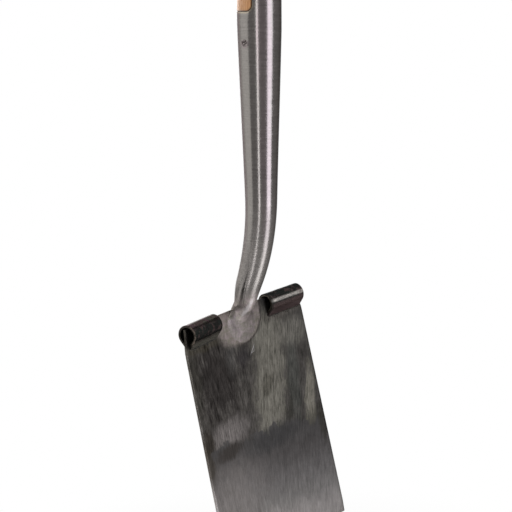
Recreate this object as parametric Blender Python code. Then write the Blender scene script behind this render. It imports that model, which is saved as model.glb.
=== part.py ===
"""A treaded garden spade, modelled as it is made.

A dished steel blade carries two rolled treads on its top edge. A cranked socket of two half shells is
welded to it, the front shell runs on up the ash shaft as a strap, and the shaft's split upper end
holds a turned crossbar.

Units are metres. The origin is the middle of the cutting edge, +Z runs up along the shaft, the front
of the spade faces -Y, and left and right are those of someone who looks at its front.
"""
import math

import bmesh
import bpy
from mathutils import Matrix, Vector

# The seat between a piece and what carries it
SEAT = 0.0003

# Blade
BLADE_LENGTH = 0.2535
BLADE_TOP_WIDTH = 0.184
BLADE_EDGE_WIDTH = 0.195
BLADE_THICKNESS = 0.0026
BLADE_DISH_RADIUS = 0.605
GRIND_HEIGHT = 0.013
GRIND_THICKNESS = 0.0012
BLADE_EDGE_ROUND = 0.0004
BLADE_BEVEL_ANGLE = math.radians(50)
BLADE_ARC_STEPS = 20

# How the shaft stands to the blade
CANT = math.radians(13.5)
SHAFT_STANDOFF = 0.032

# Treads, with each one's distance from the blade's side and its length
TREAD_PLACES = {"left": (0.0052, 0.0451), "right": (0.0018, 0.0492)}
TREAD_RADIUS = 0.0099
TREAD_WALL = 0.0022
TREAD_CENTRE_DROP = 0.0062
TREAD_TIP_DROP = 0.0205
TREAD_FORWARD = 0.0018
TREAD_ARC_STEPS = 24

# Socket, with heights above the blade's top edge, along the shaft
SHEET = 0.0016
MOUTH_HEIGHT = 0.2865
MOUTH_RADIUS = 0.0205
SOCKET_WAIST_HEIGHT = 0.122
SOCKET_WAIST_RADIUS = 0.0153
NECK_HEIGHT = 0.032
NECK_RADIUS = 0.0128
NECK_FOOT_HEIGHT = 0.0085
NECK_FOOT_RADIUS = 0.0112
HOLLOW_FOOT_HEIGHT = 0.018
HOLLOW_FOOT_ROUND = 0.008
HOLLOW_FOOT_SHARES = (0.15, 0.50, 0.80)
MOUTH_PARALLEL = 0.018
MOUTH_TAPER = 0.0001
SEAM_ANGLE = math.radians(78)
SEAM_NECK_ANGLE = math.radians(67)
SEAM_TURN_HEIGHT = 0.070
NOTCH_CORNER = 0.006
SOCKET_SIDES = 40
TONGUE_STEP = 0.0041
CRANK_STEP = 0.0085
CONE_STEP = 0.026

# The crank swings the neck back on one arc and upright again on another
CRANK_START = 0.1175
CRANK_DROP = 0.082
CRANK_RADIUS = 0.245
RETURN_RADIUS = 0.181

# The front tongue on the blade: (height, reach in front of the blade's middle, half width, hollowness),
# where a hollowness of 1 is an ellipse and more leaves a ridge between hollow flanks
FRONT_TONGUE = (
    (0.0000, 0.0190, 0.0116, 1.2),
    (-0.0065, 0.0122, 0.0185, 2.8),
    (-0.0150, 0.0068, 0.0240, 3.2),
    (-0.0250, 0.0036, 0.0235, 2.4),
    (-0.0330, 0.0021, 0.0150, 1.5),
)
# The back tongue: (height, reach behind the blade's middle, half width)
BACK_TONGUE = (
    (0.0000, 0.0030, 0.0112),
    (-0.0065, 0.0048, 0.0128),
    (-0.0150, 0.0048, 0.0138),
    (-0.0250, 0.0040, 0.0130),
    (-0.0330, 0.0028, 0.0095),
)

# Strap
STRAP_EDGE_ANGLE = math.radians(71)
STRAP_LENGTH = 0.135
STRAP_TIP_HALF_WIDTH = 0.0150
STRAP_TAPER_START = 0.012

# Shaft
SHAFT_FOOT_HEIGHT = 0.136
SHAFT_FOOT_ROUND = 0.004
SHAFT_SLIM_RADIUS = 0.0178
SHAFT_SLIM_HEIGHT = 0.500
CROTCH_HEIGHT = 0.655
CROTCH_HALF_WIDTH = 0.0195
CROTCH_HALF_DEPTH = 0.0172
SHAFT_STEP = 0.050

# Grip
GRIP_HEIGHT = 0.768
GRIP_INSIDE_WIDTH = 0.094
ARM_THICKNESS = 0.0135
ARM_HALF_DEPTH = 0.0150
ARM_UPRIGHT = 0.026
ARM_SQUARENESS = 0.32
ARM_ROUNDING_SHARE = 0.35
ARM_EASE_START = 0.05
ARM_STEP = 0.0088
ARM_TOP_STEPS = 5
ARM_TOP_NARROWING = 0.25
BAR_MIDDLE_RADIUS = 0.0160
BAR_END_RADIUS = 0.0142
BAR_END_ROUND = 0.0012
TENON_RADIUS = 0.0080
TENON_SHORT = 0.0010
ROD_RADIUS = 0.0026
GRIP_WASHER_RADIUS = 0.0085
GRIP_WASHER_THICKNESS = 0.0014

# Rivets
SOCKET_RIVET_DROP = 0.027
SOCKET_RIVET_BACK = 0.0021
SOCKET_RIVET_SHANK = 0.0030
SOCKET_RIVET_HEAD = 0.0052
SOCKET_RIVET_PROUD = 0.0004
STRAP_RIVET_HEIGHTS = {"lower": 0.040, "upper": 0.105}
STRAP_RIVET_SHANK = 0.0026
STRAP_RIVET_HEAD = 0.0050
STRAP_RIVET_DOME = 0.0024
CROTCH_RIVET_DROP = 0.016
CROTCH_RIVET_SHANK = 0.0022
BURR_RADIUS = 0.0058
BURR_THICKNESS = 0.0012
PEEN_HEIGHT = 0.0013
PEEN_SPREAD = 0.0014
WASHER_CHAMFER_SHARE = 0.25

# Fineness of the round pieces
RIVET_SIDES = 20
BAR_SIDES = 28
BAR_STEPS = 8
DOME_STEPS = 3
CORNER_STEPS = 6

# How far cutters reach past what they cut
CUT_REACH = 0.070
CUT_MARGIN = 0.010
MERGE_DISTANCE = 0.0001
SMOOTH_ANGLE = math.radians(35)

# Places that follow from the sizes above
BLADE_TOP_Y = BLADE_LENGTH * math.sin(CANT)
BLADE_TOP_Z = BLADE_LENGTH * math.cos(CANT)
SHAFT_Y = BLADE_TOP_Y - SHAFT_STANDOFF * math.cos(CANT)
MOUTH_Z = BLADE_TOP_Z + MOUTH_HEIGHT
CROTCH_Z = BLADE_TOP_Z + CROTCH_HEIGHT
GRIP_Z = BLADE_TOP_Z + GRIP_HEIGHT
SHAFT_RADIUS = MOUTH_RADIUS - SHEET - SEAT
SOCKET_RIVET_CENTRE = (0, SHAFT_Y + SOCKET_RIVET_BACK, MOUTH_Z - SOCKET_RIVET_DROP)
CROTCH_RIVET_CENTRE = (0, SHAFT_Y, CROTCH_Z - CROTCH_RIVET_DROP)


def material(name, color, roughness, metallic):
    """A plain Principled material."""
    made = bpy.data.materials.new(name)
    made.use_nodes = True
    shader = made.node_tree.nodes["Principled BSDF"]
    shader.inputs["Base Color"].default_value = (*color, 1.0)
    shader.inputs["Roughness"].default_value = roughness
    shader.inputs["Metallic"].default_value = metallic
    return made


def clear_scene():
    """Take every object out of the scene."""
    for old in list(bpy.data.objects):
        bpy.data.objects.remove(old, do_unlink=True)


def new_object(name, mesh, finish, parent=None):
    """Link a mesh as an object that is shaded smooth up to its sharp edges."""
    mesh.shade_smooth()
    mesh.set_sharp_from_angle(angle=SMOOTH_ANGLE)
    made = bpy.data.objects.new(name, mesh)
    bpy.context.scene.collection.objects.link(made)
    if finish:
        mesh.materials.append(finish)
    made.parent = parent
    return made


def loft_mesh(name, rings):
    """A closed body through rings of equally many points, with flat caps."""
    bm = bmesh.new()
    rows = [[bm.verts.new(point) for point in ring] for ring in rings]
    count = len(rings[0])
    for low, high in zip(rows, rows[1:]):
        for i in range(count):
            j = (i + 1) % count
            bm.faces.new((low[i], low[j], high[j], high[i]))
    bm.faces.new(rows[0])
    bm.faces.new(rows[-1])
    bmesh.ops.recalc_face_normals(bm, faces=bm.faces)
    mesh = bpy.data.meshes.new(name)
    bm.to_mesh(mesh)
    bm.free()
    return mesh


def prism_mesh(name, outline, axis, low, high):
    """A closed body: an outline of (u, v) points pushed out along X or Y from low to high."""
    place = {"X": lambda u, v, w: (w, u, v), "Y": lambda u, v, w: (u, w, v)}[axis]
    return loft_mesh(name, [[place(u, v, w) for u, v in outline] for w in (low, high)])


def turned(name, profile, axis, centre, finish, sides):
    """A body turned round the X or Y axis through centre, from (radius, place along the axis) points.

    The profile ends on the axis, or closes a ring.
    """
    bm = bmesh.new()
    points = [bm.verts.new((radius, 0.0, place)) for radius, place in profile]
    for a, b in zip(points, points[1:]):
        bm.edges.new((a, b))
    bmesh.ops.spin(
        bm, geom=bm.verts[:] + bm.edges[:], cent=(0, 0, 0), axis=(0, 0, 1),
        angle=2 * math.pi, steps=sides, use_merge=True,
    )
    bmesh.ops.remove_doubles(bm, verts=bm.verts, dist=MERGE_DISTANCE / 10)
    bmesh.ops.recalc_face_normals(bm, faces=bm.faces)
    turn = {"X": Matrix.Rotation(math.pi / 2, 4, "Y"), "Y": Matrix.Rotation(-math.pi / 2, 4, "X")}[axis]
    mesh = bpy.data.meshes.new(name)
    bm.to_mesh(mesh)
    bm.free()
    made = new_object(name, mesh, finish)
    made.matrix_local = Matrix.Translation(centre) @ turn
    return made


def cutter(name, mesh, parent=None):
    """An object that only cuts others."""
    made = new_object(name, mesh, None, parent)
    make_cutter(made)
    return made


def make_cutter(made):
    """Show an object as a wire and keep it out of the model."""
    made.hide_render = True
    made.display_type = "WIRE"


def cut(target, tool):
    """Cut one object by another."""
    boolean = target.modifiers.new(tool.name, "BOOLEAN")
    boolean.operation = "DIFFERENCE"
    boolean.solver = "EXACT"
    boolean.object = tool


def smooth_through(stations, place):
    """Read a smooth curve through (place, value, ...) stations, which rise or fall in place.

    Each value follows a cubic whose slopes come from the neighbours, and holds beyond the ends.
    """
    rows = sorted(stations)
    if place <= rows[0][0]:
        return rows[0][1:]
    if place >= rows[-1][0]:
        return rows[-1][1:]
    i = max(k for k in range(len(rows) - 1) if rows[k][0] <= place)
    low, high = rows[i], rows[i + 1]
    span = high[0] - low[0]
    t = (place - low[0]) / span
    values = []
    for column in range(1, len(low)):
        slopes = []
        for k in (i, i + 1):
            before, after = rows[max(k - 1, 0)], rows[min(k + 1, len(rows) - 1)]
            slopes.append((after[column] - before[column]) / (after[0] - before[0]) * span)
        a, b = low[column], high[column]
        values.append(
            a * (2 * t**3 - 3 * t**2 + 1) + slopes[0] * (t**3 - 2 * t**2 + t)
            + b * (3 * t**2 - 2 * t**3) + slopes[1] * (t**3 - t**2)
        )
    return tuple(values)


def dish(x):
    """How far the dished blade's middle comes forward of its centre line at x."""
    return BLADE_DISH_RADIUS - math.sqrt(BLADE_DISH_RADIUS**2 - x**2)


def blade_mid_y(height):
    """The Y of the blade's middle surface on its centre line, at a height from the blade's top."""
    return BLADE_TOP_Y + height * math.tan(CANT)


def crank_offset(height):
    """How far the neck's centre lies behind the shaft's line, at a height from the blade's top."""
    drop = max(CRANK_START - height, 0.0)
    first = min(drop, CRANK_DROP)
    offset = CRANK_RADIUS - math.sqrt(CRANK_RADIUS**2 - first**2)
    if drop > CRANK_DROP:
        slope = math.asin(CRANK_DROP / CRANK_RADIUS)
        to_upright = RETURN_RADIUS * math.sin(slope) - (drop - CRANK_DROP)
        offset += math.sqrt(RETURN_RADIUS**2 - to_upright**2) - RETURN_RADIUS * math.cos(slope)
    return offset


def neck_y(height):
    """The Y of the neck's centre at a height from the blade's top."""
    return SHAFT_Y + crank_offset(height)


def socket_radius(height):
    """The socket's outer radius at a height from the blade's top."""
    stations = (
        (NECK_FOOT_HEIGHT, NECK_FOOT_RADIUS),
        (NECK_HEIGHT, NECK_RADIUS),
        (SOCKET_WAIST_HEIGHT, SOCKET_WAIST_RADIUS),
        (MOUTH_HEIGHT - MOUTH_PARALLEL, MOUTH_RADIUS - MOUTH_TAPER),
        (MOUTH_HEIGHT, MOUTH_RADIUS),
    )
    return smooth_through(stations, height)[0]


def section(height):
    """The socket's outline at a height.

    Returns its front, widest and back Y, its front and back half widths, and its front's hollowness.
    """
    if height >= NECK_FOOT_HEIGHT:
        radius, middle = socket_radius(height), neck_y(height)
        return middle - radius, middle, middle + radius, radius, radius, 1.0
    forward = blade_mid_y(NECK_FOOT_HEIGHT) - neck_y(NECK_FOOT_HEIGHT)
    front = [(*station, 0.0) for station in FRONT_TONGUE]
    front.append((NECK_FOOT_HEIGHT, forward + NECK_FOOT_RADIUS, NECK_FOOT_RADIUS, 1.0, forward))
    back = BACK_TONGUE + ((NECK_FOOT_HEIGHT, NECK_FOOT_RADIUS - forward, NECK_FOOT_RADIUS),)
    reach, front_half, hollowness, widest = smooth_through(front, height)
    back_reach, back_half = smooth_through(back, height)
    blade = blade_mid_y(height)
    return blade - reach, blade - widest, blade + back_reach, front_half, back_half, hollowness


def section_ring(height):
    """The points of the socket's outline at a height."""
    front, middle, back, front_half, back_half, hollowness = section(height)
    ring = []
    for i in range(SOCKET_SIDES):
        turn = 2 * math.pi * i / SOCKET_SIDES
        if i > SOCKET_SIDES // 2:
            reach = abs(math.sin(turn))**hollowness
            x, y = front_half * math.cos(turn), middle + (front - middle) * reach
        else:
            x, y = back_half * math.cos(turn), middle + (back - middle) * math.sin(turn)
        ring.append((x, y, BLADE_TOP_Z + height))
    return ring


def round_ring(radius, y, z):
    """A level circle of points."""
    turns = [2 * math.pi * i / SOCKET_SIDES for i in range(SOCKET_SIDES)]
    return [(radius * math.cos(t), y + radius * math.sin(t), z) for t in turns]


def steps(low, high, step):
    """Evenly spaced places from low up to, and without, high."""
    count = max(1, round((high - low) / step))
    return [low + (high - low) * i / count for i in range(count)]


def socket_heights():
    """Where the socket has a ring: close together where it curves, wide apart where it is straight."""
    return (
        steps(FRONT_TONGUE[-1][0], NECK_HEIGHT, TONGUE_STEP)
        + steps(NECK_HEIGHT, CRANK_START, CRANK_STEP)
        + steps(CRANK_START, MOUTH_HEIGHT, CONE_STEP)
    )


def socket_body(name, top, finish):
    """The socket's solid outer shape, from the tongues' ends up to a height."""
    rings = [section_ring(height) for height in socket_heights()]
    rings += [round_ring(MOUTH_RADIUS, SHAFT_Y, BLADE_TOP_Z + height) for height in (MOUTH_HEIGHT, top)]
    return new_object(name, loft_mesh(name, rings), finish)


def socket_hollow():
    """What the two shells leave open inside, with a rounded foot in the neck."""
    heights = [h for h in socket_heights() if h > HOLLOW_FOOT_HEIGHT + HOLLOW_FOOT_ROUND]
    low = heights[0]
    rings = []
    for share in HOLLOW_FOOT_SHARES:
        turn = share * math.pi / 2
        height = low - (low - HOLLOW_FOOT_HEIGHT) * math.cos(turn)
        radius = (socket_radius(low) - SHEET) * math.sin(turn)
        rings.append(round_ring(radius, neck_y(height), BLADE_TOP_Z + height))
    rings += [round_ring(socket_radius(h) - SHEET, neck_y(h), BLADE_TOP_Z + h) for h in heights]
    top = MOUTH_Z + STRAP_LENGTH + CUT_MARGIN
    rings += [round_ring(MOUTH_RADIUS - SHEET, SHAFT_Y, z) for z in (MOUTH_Z, top)]
    return cutter("socket_hollow", loft_mesh("socket_hollow", rings))


def seam_line(shift):
    """The seam between the shells seen from the side, as (y, z) points from the foot up.

    It runs inside the blade, steps forward over the blade's top edge and follows the neck and cone up.
    A positive shift moves it back and up.
    """
    foot = FRONT_TONGUE[-1][0] - CUT_MARGIN
    ledge = SEAT + shift
    line = [(blade_mid_y(place), BLADE_TOP_Z + place) for place in (foot, ledge)]
    heights = [ledge] + [h for h in socket_heights() if h > TONGUE_STEP / 2]
    heights += [MOUTH_HEIGHT, MOUTH_HEIGHT + STRAP_LENGTH + CUT_MARGIN]
    turn = ((NECK_FOOT_HEIGHT, SEAM_NECK_ANGLE), (SEAM_TURN_HEIGHT, SEAM_ANGLE))
    for height in heights:
        front, middle = section(min(height, MOUTH_HEIGHT))[:2]
        forward = (middle - front) * math.cos(smooth_through(turn, height)[0])
        line.append((middle - forward + shift, BLADE_TOP_Z + height))
    return line


def side_cutter(name, line, far_y):
    """A cutter that takes away what lies between a line seen from the side and a far Y."""
    outline = line + [(far_y, line[-1][1]), (far_y, line[0][1])]
    return cutter(name, prism_mesh(name, outline, "X", -CUT_REACH, CUT_REACH))


def notch_cutter():
    """Takes away the socket's back above the mouth, with a rounded corner at each edge of the strap."""
    edge_y = SHAFT_Y - MOUTH_RADIUS * math.cos(STRAP_EDGE_ANGLE)
    far_y = SHAFT_Y + CUT_REACH
    top = MOUTH_Z + STRAP_LENGTH + CUT_MARGIN
    outline = [(far_y, MOUTH_Z)]
    for i in range(CORNER_STEPS + 1):
        turn = math.pi / 2 * i / CORNER_STEPS
        across, up = NOTCH_CORNER * (1 - math.sin(turn)), NOTCH_CORNER * (1 - math.cos(turn))
        outline.append((edge_y + across, MOUTH_Z + up))
    outline += [(edge_y, top), (far_y, top)]
    return cutter("notch", prism_mesh("notch", outline, "X", -CUT_REACH, CUT_REACH))


def strap_end_cutter():
    """Narrows the strap above the notch and rounds its upper end, seen from the front."""
    start = MOUTH_Z + STRAP_TAPER_START
    shoulder = MOUTH_Z + STRAP_LENGTH - STRAP_TIP_HALF_WIDTH
    top = MOUTH_Z + STRAP_LENGTH + 2 * CUT_MARGIN
    outline = [(CUT_REACH, top), (CUT_REACH, start), (MOUTH_RADIUS, start)]
    for i in range(2 * CORNER_STEPS + 1):
        turn = math.pi / 2 * i / CORNER_STEPS
        across, up = STRAP_TIP_HALF_WIDTH * math.cos(turn), STRAP_TIP_HALF_WIDTH * math.sin(turn)
        outline.append((across, shoulder + up))
    outline += [(-MOUTH_RADIUS, start), (-CUT_REACH, start), (-CUT_REACH, top)]
    return cutter("strap_end", prism_mesh("strap_end", outline, "Y", SHAFT_Y - CUT_REACH, SHAFT_Y))


def hole(name, axis, centre, profile, sides=RIVET_SIDES):
    """A round cutter along an axis, from (radius, place along the axis) points."""
    closed = [(0.0, profile[0][1]), *profile, (0.0, profile[-1][1])]
    made = turned(name, closed, axis, centre, None, sides)
    make_cutter(made)
    return made


def straight(radius):
    """The profile of a plain round hole."""
    return [(radius, -CUT_REACH), (radius, CUT_REACH)]


def flat_on(round_radius, flat_radius):
    """How far from its axis a round piece has a flat spot as wide as stated."""
    return math.sqrt(round_radius**2 - flat_radius**2)


def blade_width(up):
    """The blade's width at a distance up from the cutting edge."""
    return BLADE_EDGE_WIDTH + (BLADE_TOP_WIDTH - BLADE_EDGE_WIDTH) * up / BLADE_LENGTH


def blade_ring(up, thickness, spread=0.0):
    """The dished blade's outline at a distance up from the cutting edge."""
    half = blade_width(up) / 2 + spread
    across = [-half + 2 * half * i / BLADE_ARC_STEPS for i in range(BLADE_ARC_STEPS + 1)]
    front = [(x, -dish(x) - thickness / 2, up) for x in across]
    back = [(x, -dish(x) + thickness / 2, up) for x in reversed(across)]
    return front + back


def build_blade(finish, frame):
    """The dished plate, ground thinner towards its cutting edge."""
    rings = [
        blade_ring(0.0, GRIND_THICKNESS),
        blade_ring(GRIND_HEIGHT, BLADE_THICKNESS),
        blade_ring(BLADE_LENGTH, BLADE_THICKNESS),
    ]
    blade = new_object("blade", loft_mesh("blade", rings), finish, frame)
    bevel = blade.modifiers.new("worn_edges", "BEVEL")
    bevel.width = BLADE_EDGE_ROUND
    bevel.segments = 1
    bevel.limit_method = "ANGLE"
    bevel.angle_limit = BLADE_BEVEL_ANGLE


def blade_clearance(frame):
    """The space that whatever grips the blade's top leaves for it."""
    thickness = BLADE_THICKNESS + 2 * SEAT
    rings = [blade_ring(up, thickness, CUT_MARGIN) for up in (BLADE_LENGTH / 2, BLADE_LENGTH + SEAT)]
    return cutter("blade_clearance", loft_mesh("blade_clearance", rings), frame)


def tread_outline():
    """The rolled strip's outer side seen along the blade's top edge, as (forward, up) points.

    It leaves the blade's front face, rounds the tube over the top edge and comes down to the back face.
    """
    centre = Vector((TREAD_FORWARD, -TREAD_CENTRE_DROP))
    tips, turns = [], []
    for side in (1, -1):
        tip = Vector((side * BLADE_THICKNESS / 2, -TREAD_TIP_DROP))
        to_tip = tip - centre
        tips.append(tip)
        turns.append(math.atan2(to_tip.y, to_tip.x) + side * math.acos(TREAD_RADIUS / to_tip.length))
    start, sweep = turns[0], turns[1] + 2 * math.pi - turns[0]
    arc = [start + sweep * i / TREAD_ARC_STEPS for i in range(TREAD_ARC_STEPS + 1)]
    tube = [centre + TREAD_RADIUS * Vector((math.cos(turn), math.sin(turn))) for turn in arc]
    return [tips[0], *tube, tips[1]]


def build_tread(side, finish, frame, clearance):
    """The left or right rolled tread, which straddles the blade's top edge."""
    name = f"tread_{side}"
    inset, length = TREAD_PLACES[side]
    bm = bmesh.new()
    ends = (-length / 2, length / 2)
    low, high = [[bm.verts.new((end, -p.x, p.y)) for p in tread_outline()] for end in ends]
    for i in range(len(low) - 1):
        bm.faces.new((low[i], high[i], high[i + 1], low[i + 1]))
    mesh = bpy.data.meshes.new(name)
    bm.to_mesh(mesh)
    bm.free()
    middle = BLADE_TOP_WIDTH / 2 - inset - length / 2
    if side == "left":
        middle = -middle
    tread = new_object(name, mesh, finish, frame)
    tread.location = (middle, -dish(middle), BLADE_LENGTH)
    tread.rotation_euler = (0, 0, -math.asin(middle / BLADE_DISH_RADIUS))
    wall = tread.modifiers.new("wall", "SOLIDIFY")
    wall.thickness = TREAD_WALL
    wall.offset = -1
    wall.use_even_offset = True
    cut(tread, clearance)


def build_front_shell(finish, hollow, notch, clearance):
    """The front shell with its tongue on the blade and the strap up the shaft."""
    front = socket_body("socket_front", MOUTH_HEIGHT + STRAP_LENGTH + CUT_MARGIN / 2, finish)
    cut(front, hollow)
    cut(front, side_cutter("behind_seam", seam_line(-SEAT / 2), SHAFT_Y + CUT_REACH))
    cut(front, notch)
    cut(front, strap_end_cutter())
    cut(front, clearance)
    spot = STRAP_RIVET_HEAD + SEAT
    bore = STRAP_RIVET_SHANK + SEAT
    bears = -flat_on(MOUTH_RADIUS, spot)
    profile = [(spot, -CUT_REACH), (spot, bears), (bore, bears), (bore, 0.0)]
    for place, rise in STRAP_RIVET_HEIGHTS.items():
        cut(front, hole(f"strap_hole_{place}", "Y", (0, SHAFT_Y, MOUTH_Z + rise), profile))


def build_back_shell(finish, hollow, notch, clearance):
    """The back shell, which sits on the blade's top edge and runs on down its back as a tongue."""
    back = socket_body("socket_back", MOUTH_HEIGHT + NOTCH_CORNER, finish)
    cut(back, hollow)
    cut(back, side_cutter("before_seam", seam_line(SEAT / 2), SHAFT_Y - CUT_REACH))
    cut(back, notch)
    cut(back, clearance)
    inner, outer = socket_rivet_places()
    sink = [(SOCKET_RIVET_HEAD + SEAT, outer), (SOCKET_RIVET_SHANK + SEAT, inner)]
    profile = [(sink[0][0], CUT_REACH), *sink]
    mirrored = [(radius, -place) for radius, place in profile]
    cut(back, hole("socket_rivet_sinks", "X", SOCKET_RIVET_CENTRE, mirrored + profile[::-1]))


def socket_rivet_places():
    """How far from the middle the side rivet's sunk heads begin and reach the socket's surface."""
    across = socket_radius(MOUTH_HEIGHT - SOCKET_RIVET_DROP)
    inner = flat_on(across - SHEET, SOCKET_RIVET_BACK)
    return inner, flat_on(across, SOCKET_RIVET_HEAD)


def shaft_half_size(height):
    """The shaft's half width and half depth at a height up to the crotch."""
    if height <= MOUTH_HEIGHT:
        radius = socket_radius(height) - SHEET - SEAT
        return radius, radius
    stations = (
        (MOUTH_HEIGHT + STRAP_LENGTH, SHAFT_RADIUS, SHAFT_RADIUS),
        (SHAFT_SLIM_HEIGHT, SHAFT_SLIM_RADIUS, SHAFT_SLIM_RADIUS),
        (CROTCH_HEIGHT, CROTCH_HALF_WIDTH, CROTCH_HALF_DEPTH),
    )
    return smooth_through(stations, height)


def half_turns():
    """The turns of a half outline's points, from its front to its back."""
    count = SOCKET_SIDES // 2
    return [-math.pi / 2 + math.pi * i / count for i in range(count + 1)]


def half_round(height, share=1.0):
    """The left half of the shaft's outline at a height up to the crotch."""
    half_width, half_depth = [share * half for half in shaft_half_size(height)]
    z = BLADE_TOP_Z + height
    return [(-half_width * math.cos(t), SHAFT_Y + half_depth * math.sin(t), z) for t in half_turns()]


def smooth_rise(share):
    """A rise from 0 to 1 that starts and ends level."""
    return share**2 * (3 - 2 * share)


def arm_middle(share):
    """How far an arm's middle lies from the shaft's axis, at a share of the way up its bend."""
    start = smooth_rise(ARM_EASE_START)
    rise = (smooth_rise(ARM_EASE_START + (1 - ARM_EASE_START) * share) - start) / (1 - start)
    low, high = CROTCH_HALF_WIDTH / 2, (GRIP_INSIDE_WIDTH + ARM_THICKNESS) / 2
    return low + (high - low) * rise


def arm_ring(height, depth_share=1.0):
    """The left arm's outline at a height, as its outer side and its inner side.

    The half round that the split leaves turns into a rounded strip on the way up.
    """
    bend = GRIP_HEIGHT - ARM_UPRIGHT - CROTCH_HEIGHT
    share = min((height - CROTCH_HEIGHT) / bend, 1.0)
    middle = arm_middle(share)
    thick = CROTCH_HALF_WIDTH + (ARM_THICKNESS - CROTCH_HALF_WIDTH) * share
    if 0 < share < 1:
        step = min(share, 1 - share) / 2
        lean = (arm_middle(share + step) - arm_middle(share - step)) / (2 * step * bend)
        thick *= math.hypot(1.0, lean)
    half = thick / 2 * (1 - ARM_TOP_NARROWING * (1 - depth_share))
    depth = (CROTCH_HALF_DEPTH + (ARM_HALF_DEPTH - CROTCH_HALF_DEPTH) * share) * depth_share
    strip = min(share / ARM_ROUNDING_SHARE, 1.0)
    outer, inner = [], []
    for turn in half_turns():
        bulge = max(math.cos(turn), 0.0)
        place = SHAFT_Y + depth * math.sin(turn), BLADE_TOP_Z + height
        squared = half * bulge**ARM_SQUARENESS
        outer.append((-middle - strip * squared + (1 - strip) * half * (1 - 2 * bulge), *place))
        inner.append((-middle + strip * squared + (1 - strip) * half, *place))
    return outer, inner[-2:0:-1]


def arm_shapes():
    """The heights of an arm's outlines above the crotch, each with its share of the full depth."""
    upright = GRIP_HEIGHT - ARM_UPRIGHT
    heights = steps(CROTCH_HEIGHT, upright, ARM_STEP)[1:] + [upright, GRIP_HEIGHT]
    shapes = [(height, 1.0) for height in heights]
    for i in range(1, ARM_TOP_STEPS + 1):
        turn = math.pi / 2 * i / (ARM_TOP_STEPS + 1)
        shapes.append((GRIP_HEIGHT + ARM_HALF_DEPTH * math.sin(turn), math.cos(turn)))
    return shapes


def bridge(bm, low, high, closed=False):
    """Join two rows of points with faces."""
    for i in range(len(low) - (0 if closed else 1)):
        j = (i + 1) % len(low)
        bm.faces.new((low[i], low[j], high[j], high[i]))


def shaft_mesh():
    """The left half of the shaft and its left arm, open at the middle plane below the crotch."""
    bm = bmesh.new()
    full = SHAFT_FOOT_HEIGHT + SHAFT_FOOT_ROUND
    strap_top = MOUTH_HEIGHT + STRAP_LENGTH
    heights = steps(full, MOUTH_HEIGHT, SHAFT_STEP) + [MOUTH_HEIGHT]
    heights += steps(strap_top, CROTCH_HEIGHT, SHAFT_STEP)
    rings = [half_round(SHAFT_FOOT_HEIGHT, 1 - SHAFT_FOOT_ROUND / SHAFT_RADIUS)]
    rings += [half_round(height) for height in heights]
    outer, inner = arm_ring(CROTCH_HEIGHT)
    rows = [[bm.verts.new(point) for point in ring] for ring in rings + [outer]]
    bm.faces.new(rows[0])
    for low, high in zip(rows, rows[1:]):
        bridge(bm, low, high)
    below = rows[-1] + [bm.verts.new(point) for point in inner]
    for height, depth_share in arm_shapes():
        outer, inner = arm_ring(height, depth_share)
        above = [bm.verts.new(point) for point in outer + inner]
        bridge(bm, below, above, closed=True)
        below = above
    bm.faces.new(below)
    bmesh.ops.recalc_face_normals(bm, faces=bm.faces)
    mesh = bpy.data.meshes.new("shaft")
    bm.to_mesh(mesh)
    bm.free()
    return mesh


def build_shaft(finish):
    """The ash shaft, from its rounded foot in the socket to the tops of its two arms."""
    shaft = new_object("shaft", shaft_mesh(), finish)
    mirror = shaft.modifiers.new("other_half", "MIRROR")
    mirror.use_axis = (True, False, False)
    mirror.merge_threshold = MERGE_DISTANCE
    tenon = straight(TENON_RADIUS + SEAT)
    cut(shaft, hole("tenon_holes", "X", (0, SHAFT_Y, GRIP_Z), tenon, BAR_SIDES))
    side_bore = straight(SOCKET_RIVET_SHANK + SEAT)
    cut(shaft, hole("socket_rivet_bore", "X", SOCKET_RIVET_CENTRE, side_bore))
    spot = BURR_RADIUS + SEAT
    bore = STRAP_RIVET_SHANK + SEAT
    bears = flat_on(SHAFT_RADIUS, spot)
    profile = [(bore, -CUT_REACH), (bore, bears), (spot, bears), (spot, CUT_REACH)]
    for place, rise in STRAP_RIVET_HEIGHTS.items():
        cut(shaft, hole(f"strap_bore_{place}", "Y", (0, SHAFT_Y, MOUTH_Z + rise), profile))
    bore = CROTCH_RIVET_SHANK + SEAT
    bears = crotch_burr_seat()
    profile = [(spot, -CUT_REACH), (spot, -bears), (bore, -bears)]
    profile += [(radius, -place) for radius, place in reversed(profile)]
    cut(shaft, hole("crotch_bore", "X", CROTCH_RIVET_CENTRE, profile))


def crotch_burr_seat():
    """How far from the middle the burrs of the crotch rivet bear on the wood."""
    half_width = shaft_half_size(CROTCH_HEIGHT - CROTCH_RIVET_DROP)[0]
    return flat_on(half_width, BURR_RADIUS + SEAT)


def dome(radius, base, height):
    """Profile points of a low dome, from its rim to the axis."""
    turns = [math.pi / 2 * i / DOME_STEPS for i in range(DOME_STEPS)]
    points = [(radius * math.cos(turn), base + height * math.sin(turn)) for turn in turns]
    return points + [(0.0, base + height)]


def turned_over(profile):
    """The same profile at the other end, from the axis outwards."""
    return [(radius, -place) for radius, place in reversed(profile)]


def washer(name, axis, centre, bore, radius, bears, thickness, finish):
    """A flat ring that bears at a place along the axis and lies outwards from it, with eased outer rims."""
    start, end = sorted((bears, bears + math.copysign(thickness, bears)))
    chamfer = thickness * WASHER_CHAMFER_SHARE
    profile = [
        (bore, start), (radius - chamfer, start), (radius, start + chamfer),
        (radius, end - chamfer), (radius - chamfer, end), (bore, end), (bore, start),
    ]
    turned(name, profile, axis, centre, finish, RIVET_SIDES)


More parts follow.
